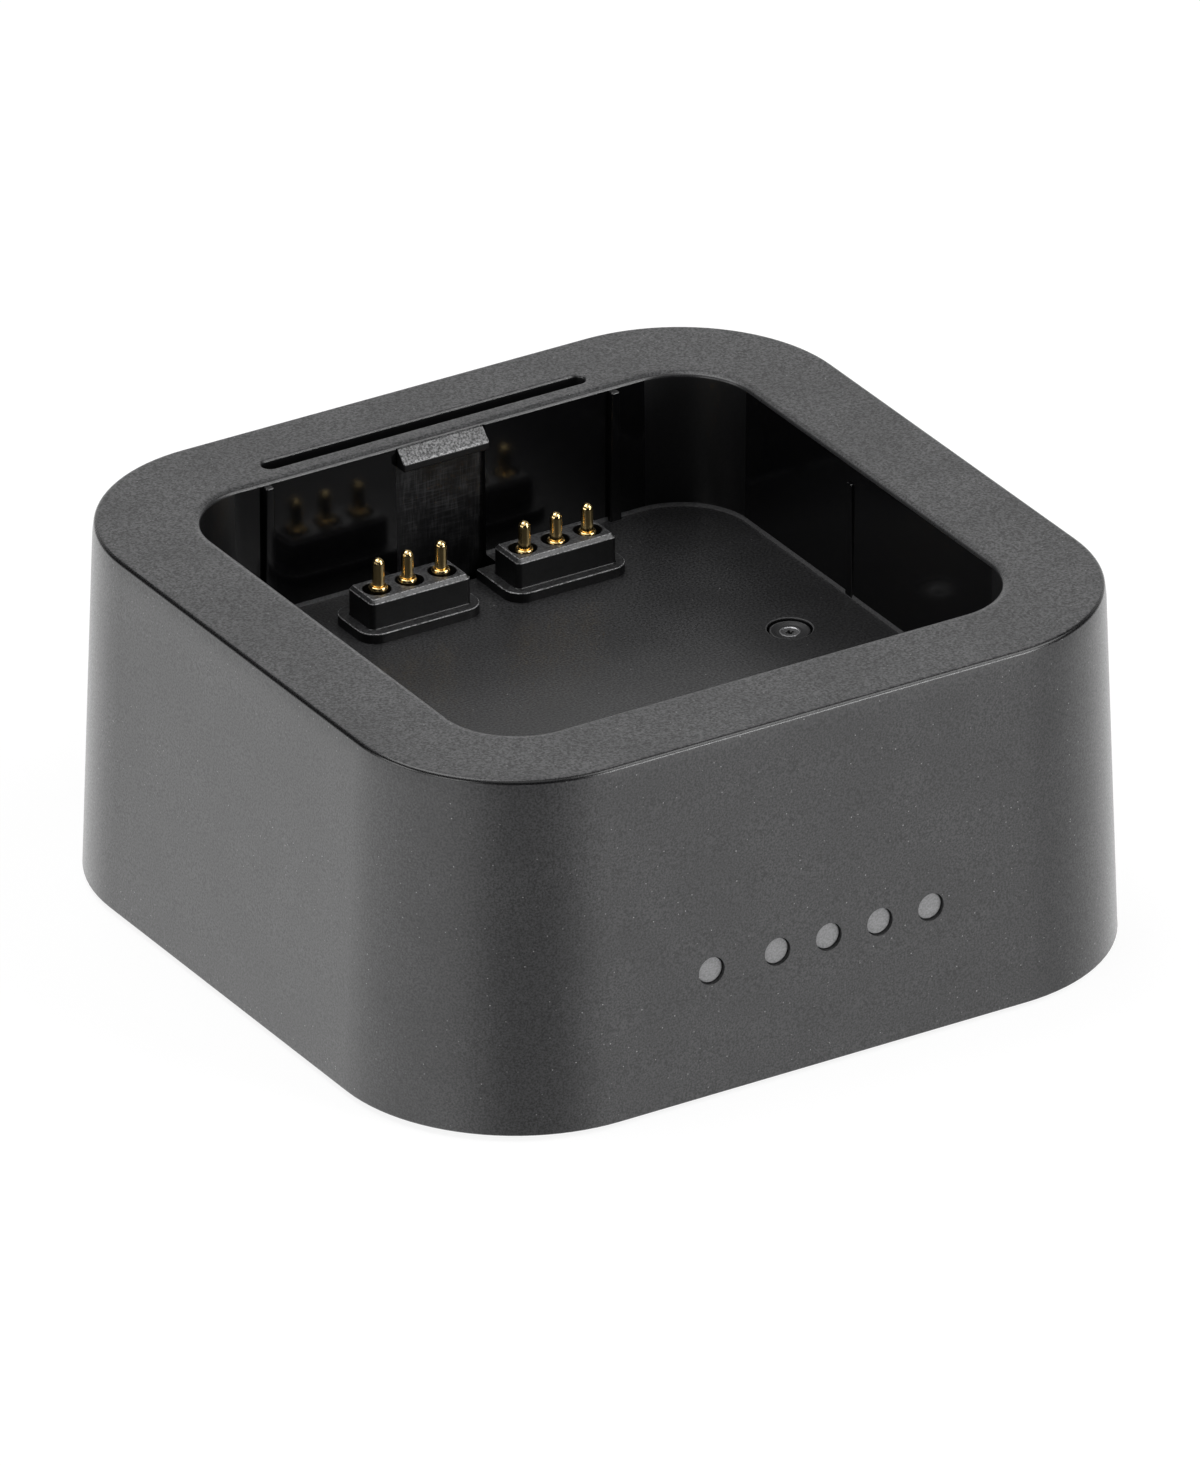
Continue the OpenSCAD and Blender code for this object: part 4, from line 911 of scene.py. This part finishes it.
def floor_screw():
    """A pan head screw with a shallow dish and a cross recess, on its own axis, with its head on its seat."""
    seat = FLOOR_Z - POCKET_DEPTH
    top = seat + HEAD_H
    base = top - HEAD_DISH
    side = [(HEAD_R - 0.1, seat), (HEAD_R, seat + 0.1), (HEAD_R, top - 0.12), (HEAD_R - 0.035, top - 0.035)]
    crown = [(HEAD_R - 0.12, top), (HEAD_R - 0.2, top - 0.01)]
    dish = [(1.62, base + 0.02), (1.5, base), (1.16, base), (1.12, base + 0.05), (1.02, base + 0.05),
            (0.94, base - 0.02), (0.86, base - 0.06), (0.1, base - 0.08)]
    thread = [(THREAD_TIP_R, seat - THREAD_L), (THREAD_R, seat - THREAD_L + THREAD_TIP), (THREAD_R, seat)]
    screw = turned("screw", thread + side + crown + dish)
    recess_w, recess_r, depth = 0.34, 0.56, 0.9
    tools = [turned("dimple", [(0.1, base - 0.34), (0.34, base - 0.06), (0.5, base + 0.2)], sides=48)]
    for degrees in (30, 120):
        tool = lofted("cross", [(outline(recess_r * 0.4, recess_w * 0.35, 0.05), [(0, base - depth)]),
                                (outline(recess_r, recess_w / 2, 0.08), [(0, base + 0.2)])], steps=4)
        tools.append(placed(tool, (0, 0, 0), degrees, "Z"))
    return combine(screw, "DIFFERENCE", tools)


def rubber_foot():
    """A round foot with a rounded lower edge."""
    edge = [(FOOT_R - FOOT_ROUND + g, z) for g, z in arc(0, FOOT_ROUND, FOOT_ROUND, -90, 0, 5)]
    return turned("foot", edge + [(FOOT_R, FOOT_H)], sides=72)


def screw_finish(face):
    """Bare steel where the driver has worn the black off, round the mouth of the recess; grey rubbed oxide in
    the middle, and a painted highlight on the back half of the crown.
    """
    x, y, z = face.center / MM
    reach = hypot(abs(x) - FLOOR_SCREW_X, y)
    if z < FLOOR_Z - 0.75 or face.normal.z < 0.2:
        return OXIDE
    if 0.9 < reach < 1.14:
        return WORN
    # Painted highlight: a grey crescent on the crown, on its back half only.
    return RUBBED_OXIDE_AND_HIGHLIGHT if reach < 0.9 or 1.9 < reach < 2.1 and y > 0 else OXIDE


finished(copied("floor_screw_pair", floor_screw(), [(-FLOOR_SCREW_X, 0, 0), (FLOOR_SCREW_X, 0, 0)],
                black_steel, most_turn=1.2, seed=3),
         "floor_screws", [black_steel, worn_steel, rubbed_steel_and_highlight], pick=screw_finish)
finished(copied("rubber_foot_set", rubber_foot(),
                [(sx * FOOT_X, sy * FOOT_Y, 0) for sx in (-1, 1) for sy in (-1, 1)], rubber),
         "rubber_feet", [rubber])

# Light guide and power inlet

ROD_CLEAR, ROD_INSET, ROD_EDGE = 0.08, 0.4, 0.1
BAR_D, BAR_EDGE = 3, 0.15
PEG_R, PEG_OUT = 0.6, 1.2
SHEET_T, TAB_D, TAB_L = 0.25, 1, 2
INLET_BACK_Y = INLET_MOUTH_Y - INLET_L
INLET_BACK_T = 0.6
TONGUE_W, TONGUE_T, TONGUE_OUT, TONGUE_BLOCK = 6.65, 0.7, 4.45, 1.4
STRIPS, STRIP_W, STRIP_T, STRIP_PITCH = 12, 0.25, 0.06, 0.5


def light_guide():
    """A clear bar with five rods that end just inside the front face, and two pegs."""
    half_h = LIGHT_Z - BOARD_TOP_Z
    front = -(HALF_D - WALL + lean(LIGHT_Z + half_h) - 0.2)
    middle = front + BAR_D / 2
    bar = block("light_guide_bar", (LIGHT_XS[0] - 3, front, BOARD_TOP_Z),
                (LIGHT_XS[-1] + 4.2, front + BAR_D, LIGHT_Z + half_h), bevel=BAR_EDGE)
    rod_r = LIGHT_D / 2 - ROD_CLEAR
    length = HALF_D + lean(LIGHT_Z) - ROD_INSET + middle
    end = [(rod_r + g, z) for g, z in arc(-ROD_EDGE, length - ROD_EDGE, ROD_EDGE, 0, 90, 4)]
    rods = [placed(turned("rod", [(rod_r, 0)] + end), (x, middle, LIGHT_Z), 90) for x in LIGHT_XS]
    peg_xs = ((LIGHT_XS[0] + LIGHT_XS[1]) / 2, LIGHT_XS[-1] + LIGHT_D)
    peg_l = BAR_D / 2 + PEG_OUT
    pegs = [placed(turned("peg", [(PEG_R, 0), (PEG_R, peg_l)], sides=32), (x, middle, LIGHT_Z), 90)
            for x in peg_xs]
    return combine(bar, "UNION", rods + pegs)


def in_inlet(obj):
    """Turns a form made upright so that its top faces the back, and puts it at the inlet's mouth."""
    return placed(obj, (0, INLET_MOUTH_Y, INLET_Z), -90)


def inlet_shell():
    """A drawn sheet tube with a rolled mouth, closed at the back, with four solder tabs."""
    roll = arc(-SHEET_T / 2, -SHEET_T / 2, SHEET_T / 2, 0, 180, 6)
    profile = [(0, -INLET_L), (0, -0.2)] + roll + [(-SHEET_T, -0.4), (-SHEET_T, -INLET_L + INLET_BACK_T)]
    tube = in_inlet(lofted("inlet_tube", [(inlet_outline(), profile)], steps=12))
    tabs = []
    for side in (-1, 1):
        x = side * (INLET_W - SHEET_T) / 2
        for y in (INLET_BACK_Y + 0.8, INLET_BACK_Y + 3.2):
            tabs.append(block("tab", (x - SHEET_T / 2, y, BOARD_TOP_Z - TAB_L),
                              (x + SHEET_T / 2, y + TAB_D, INLET_Z)))
    return combine(tube, "UNION", tabs)


def inlet_tongue():
    """The moulded block at the inlet's back, with its thin blade."""
    low = -INLET_L + INLET_BACK_T
    profile = [(-0.27, low), (-0.27, low + TONGUE_BLOCK)]
    base = in_inlet(lofted("inlet_tongue", [(inlet_outline(), profile)], steps=12))
    back = INLET_BACK_Y + INLET_BACK_T
    blade = block("blade", (-TONGUE_W / 2, back + TONGUE_BLOCK / 2, INLET_Z - TONGUE_T / 2),
                  (TONGUE_W / 2, back + TONGUE_BLOCK + TONGUE_OUT, INLET_Z + TONGUE_T / 2), bevel=0.15)
    return combine(base, "UNION", [blade])


def contact_strips():
    """Rows of flat contacts on both faces of the blade."""
    strip = block("strip", (-STRIP_W / 2, 0, 0), (STRIP_W / 2, TONGUE_OUT - 0.6, STRIP_T),
                  bevel=0.015, segments=1)
    front = INLET_BACK_Y + INLET_BACK_T + TONGUE_BLOCK
    places = [((i - (STRIPS - 1) / 2) * STRIP_PITCH, front, INLET_Z + z)
              for i in range(STRIPS) for z in (TONGUE_T / 2, -TONGUE_T / 2 - STRIP_T)]
    return copied("inlet_contacts", strip, places, gold)


finished(light_guide(), "light_guide", [frosted_acrylic])
finished(inlet_shell(), "usb_shell", [sheet_steel])
finished(inlet_tongue(), "usb_tongue", [nylon])
finished(contact_strips(), "usb_contacts", [gold])

# Construction that stays as it is, with its real finishes

CAD_FINISHES = {
    "base_plate": base_abs, "board_screws": zinc_steel, "contact_board_screws": zinc_steel,
    "main_board": solder_mask, "contact_board": solder_mask, "board_header": nylon,
    "header_pins": gold, "indicator_leds": lamp_package,
    "power_inductor": ferrite, "filter_capacitors": can_aluminium, "charge_controller": chip_epoxy,
    "power_transistors": chip_epoxy, "chip_parts": ceramic}
for name, finish in CAD_FINISHES.items():
    mesh = NODES[name].data
    mesh.materials.clear()
    mesh.materials.append(finish)

# Table, light and camera. Compass degrees run anticlockwise from +X, and on past 360.

TABLE_GLOW, TABLE_SEEN, TABLE_LIT = 0.87, "#7c7c7c", "#e8e8e8"
# What shiny surfaces mirror below the horizon: a white table, with a dark gap where the camera stands and a
# shaded side right of it that brightens slowly. Compass degrees and light, white outside them.
TABLE_LIGHT, GAP_LIGHT, SHADE_LIGHT = 1.55, 0.4, 0.6
MIRRORED = [(205, TABLE_LIGHT), (230, GAP_LIGHT), (265, GAP_LIGHT), (295, TABLE_LIGHT), (300, TABLE_LIGHT),
            (315, SHADE_LIGHT), (385, TABLE_LIGHT)]
RING_START = 90
# The white backdrop behind, which the rim mirrors: its compass degrees, and how far aside it fades out.
BACKDROP_LIGHT, BACKDROP_TURN, BACKDROP_ASIDE, BACKDROP_END = 1.0, 58, 30, 58
# The pale ceiling, which the contacts mirror.
CEILING_LIGHT = 0.25
# Fades in degrees above the horizon: from table to backdrop, at the backdrop's top and into the ceiling.
HORIZON, BACKDROP_TOP, CEILING_RISE = (-12, -4), (22, 40), (42, 60)


def white_table():
    """A pale table: near white to the camera, with a soft shadow, and left out of reflections."""
    bm = bmesh.new()
    bmesh.ops.create_grid(bm, x_segments=1, y_segments=1, size=3)
    floor = new_object("floor", bm)
    mat, tree = new_material("white_table")
    seen = add(tree, "ShaderNodeLightPath").outputs["Is Camera Ray"]
    tone = add(tree, MIX, {0: seen, 6: linear(TABLE_LIT), 7: linear(TABLE_SEEN)}, data_type="RGBA")
    matt = add(tree, "ShaderNodeBsdfPrincipled",
               {"Base Color": tone, "Roughness": 0.9, "Specular IOR Level": 0.0})
    brightness = add(tree, MATH, (seen, TABLE_GLOW), operation="MULTIPLY")
    glow = add(tree, "ShaderNodeEmission", {"Strength": brightness})
    both = add(tree, "ShaderNodeAddShader", (matt, glow))
    add(tree, "ShaderNodeOutputMaterial", {"Surface": both})
    floor.data.materials.append(mat)
    floor.visible_glossy = False


def heights(pair):
    """The two heights of a fade, as the upward part of a ray's direction."""
    return [sin(radians(degrees)) for degrees in pair]


def studio_world():
    """White to the camera. To reflections it is the table's ring of light, the backdrop and the ceiling."""
    world = bpy.data.worlds.new("studio")
    bpy.context.scene.world = world
    world.use_nodes = True
    world.cycles.sampling_method = "NONE"
    tree = world.node_tree
    tree.nodes.clear()
    way = add(tree, "ShaderNodeTexCoord").outputs["Generated"]
    way = add(tree, "ShaderNodeSeparateXYZ", (way,)).outputs
    start, end = radians(RING_START), radians(RING_START + 360)
    turn = add(tree, MATH, (way["Y"], way["X"]), operation="ARCTAN2")
    turn = add(tree, MATH, (turn, end, start), operation="WRAP")
    ring_light = add(tree, "ShaderNodeValToRGB", (add(tree, MAP_RANGE, (turn, start, end)),))
    stops = ring_light.color_ramp.elements
    for stop in stops:
        stop.color = (1, 1, 1, 1)
    for degrees, light in MIRRORED:
        stops.new((degrees - RING_START) / 360).color = [light / TABLE_LIGHT] * 3 + [1]
    below = add(tree, MAP_RANGE, (way["Z"], *heights(HORIZON), TABLE_LIGHT, 0))
    table = add(tree, MATH, (below, ring_light), operation="MULTIPLY")

    aside = add(tree, MATH, (turn, radians(BACKDROP_TURN)), operation="SUBTRACT")
    aside = add(tree, MATH, (aside, pi, -pi), operation="WRAP")
    aside = add(tree, MATH, (aside,), operation="ABSOLUTE")
    across = add(tree, MAP_RANGE, (aside, radians(BACKDROP_ASIDE), radians(BACKDROP_END), 1, 0))
    rising = add(tree, MAP_RANGE, (way["Z"], *heights(HORIZON), 0, BACKDROP_LIGHT))
    falling = add(tree, MAP_RANGE, (way["Z"], *heights(BACKDROP_TOP), 1, 0))
    backdrop = add(tree, MATH, (rising, falling), operation="MULTIPLY")
    backdrop = add(tree, MATH, (backdrop, across), operation="MULTIPLY")

    ceiling = add(tree, MAP_RANGE, (way["Z"], *heights(CEILING_RISE), 0, CEILING_LIGHT))
    mirrored = add(tree, MATH, (table, backdrop), operation="ADD")
    mirrored = add(tree, MATH, (mirrored, ceiling), operation="ADD")
    path = add(tree, "ShaderNodeLightPath").outputs
    strength = add(tree, MATH, (mirrored, path["Is Glossy Ray"], path["Is Camera Ray"]),
                   operation="MULTIPLY_ADD")
    white = add(tree, "ShaderNodeBackground", {"Color": (1, 1, 1, 1), "Strength": strength})
    add(tree, "ShaderNodeOutputWorld", {"Surface": white})


CENTRE = Vector((0, 0, 0.0213))
LAMP_DISTANCE = 1.4
STRONG, HALF = 9.4, 4.5
# Square lamps that face the middle: compass degrees, degrees up, watts and metres across.
LAMPS = {
    "left_back": (165, 12, HALF, 0.6),
    "left_front": (200, 12, HALF, 0.6),
    "front_low": (300, 8, STRONG, 0.5),
    "right_high": (320, 45, STRONG, 0.85),
    "back_high": (60, 50, 0.6, 0.5),
    "top_back": (120, 68, STRONG, 0.85),
    "fill": (240, 62, 1.6, 0.85)}


def softbox(name, degrees, up, watts, size):
    """An even square of light that faces the middle."""
    data = bpy.data.lights.new(name, "AREA")
    data.size = size
    data.energy = watts
    lamp = in_scene(name, data)
    turn, rise = radians(degrees), radians(up)
    away = Vector((cos(turn) * cos(rise), sin(turn) * cos(rise), sin(rise)))
    lamp.location = CENTRE + away * LAMP_DISTANCE
    lamp.rotation_euler = away.to_track_quat("Z", "Y").to_euler()
    lamp.visible_camera = False


# The camera that was fitted to the object's outline in the photograph: degrees, millimetres and photo pixels.
CAMERA_AZIMUTH, CAMERA_ELEVATION, CAMERA_ROLL = -31.642, 27.371, -0.093
CAMERA_DISTANCE, CAMERA_ASIDE, CAMERA_DOWN = 2639.1, -0.177, 1.226
FOCAL_PIXELS, PHOTO_H = 24630, 1466
SENSOR_W = 36


def photo_camera():
    """The photograph's camera: its angles, distance and lens, with the photo's height across the sensor."""
    azimuth, elevation, roll = [radians(a) for a in (CAMERA_AZIMUTH, CAMERA_ELEVATION, CAMERA_ROLL)]
    flat = cos(elevation)
    back = Vector((sin(azimuth) * flat, -cos(azimuth) * flat, sin(elevation)))
    level_right = Vector((cos(azimuth), sin(azimuth), 0))
    level_up = back.cross(level_right)
    right = level_right * cos(roll) + level_up * sin(roll)
    up = level_up * cos(roll) - level_right * sin(roll)
    data = bpy.data.cameras.new("photo_camera")
    data.sensor_width = SENSOR_W
    data.lens = FOCAL_PIXELS * SENSOR_W / PHOTO_H
    data.clip_end = 20
    camera = in_scene("photo_camera", data)
    rotation = Matrix((right, up, back)).transposed().to_4x4()
    place = CENTRE + (back * CAMERA_DISTANCE - right * CAMERA_ASIDE - up * CAMERA_DOWN) * MM
    camera.matrix_world = Matrix.Translation(place) @ rotation
    bpy.context.scene.camera = camera


white_table()
studio_world()
for name, lamp in LAMPS.items():
    softbox(name, *lamp)
photo_camera()
bpy.context.scene.view_settings.view_transform = "Standard"
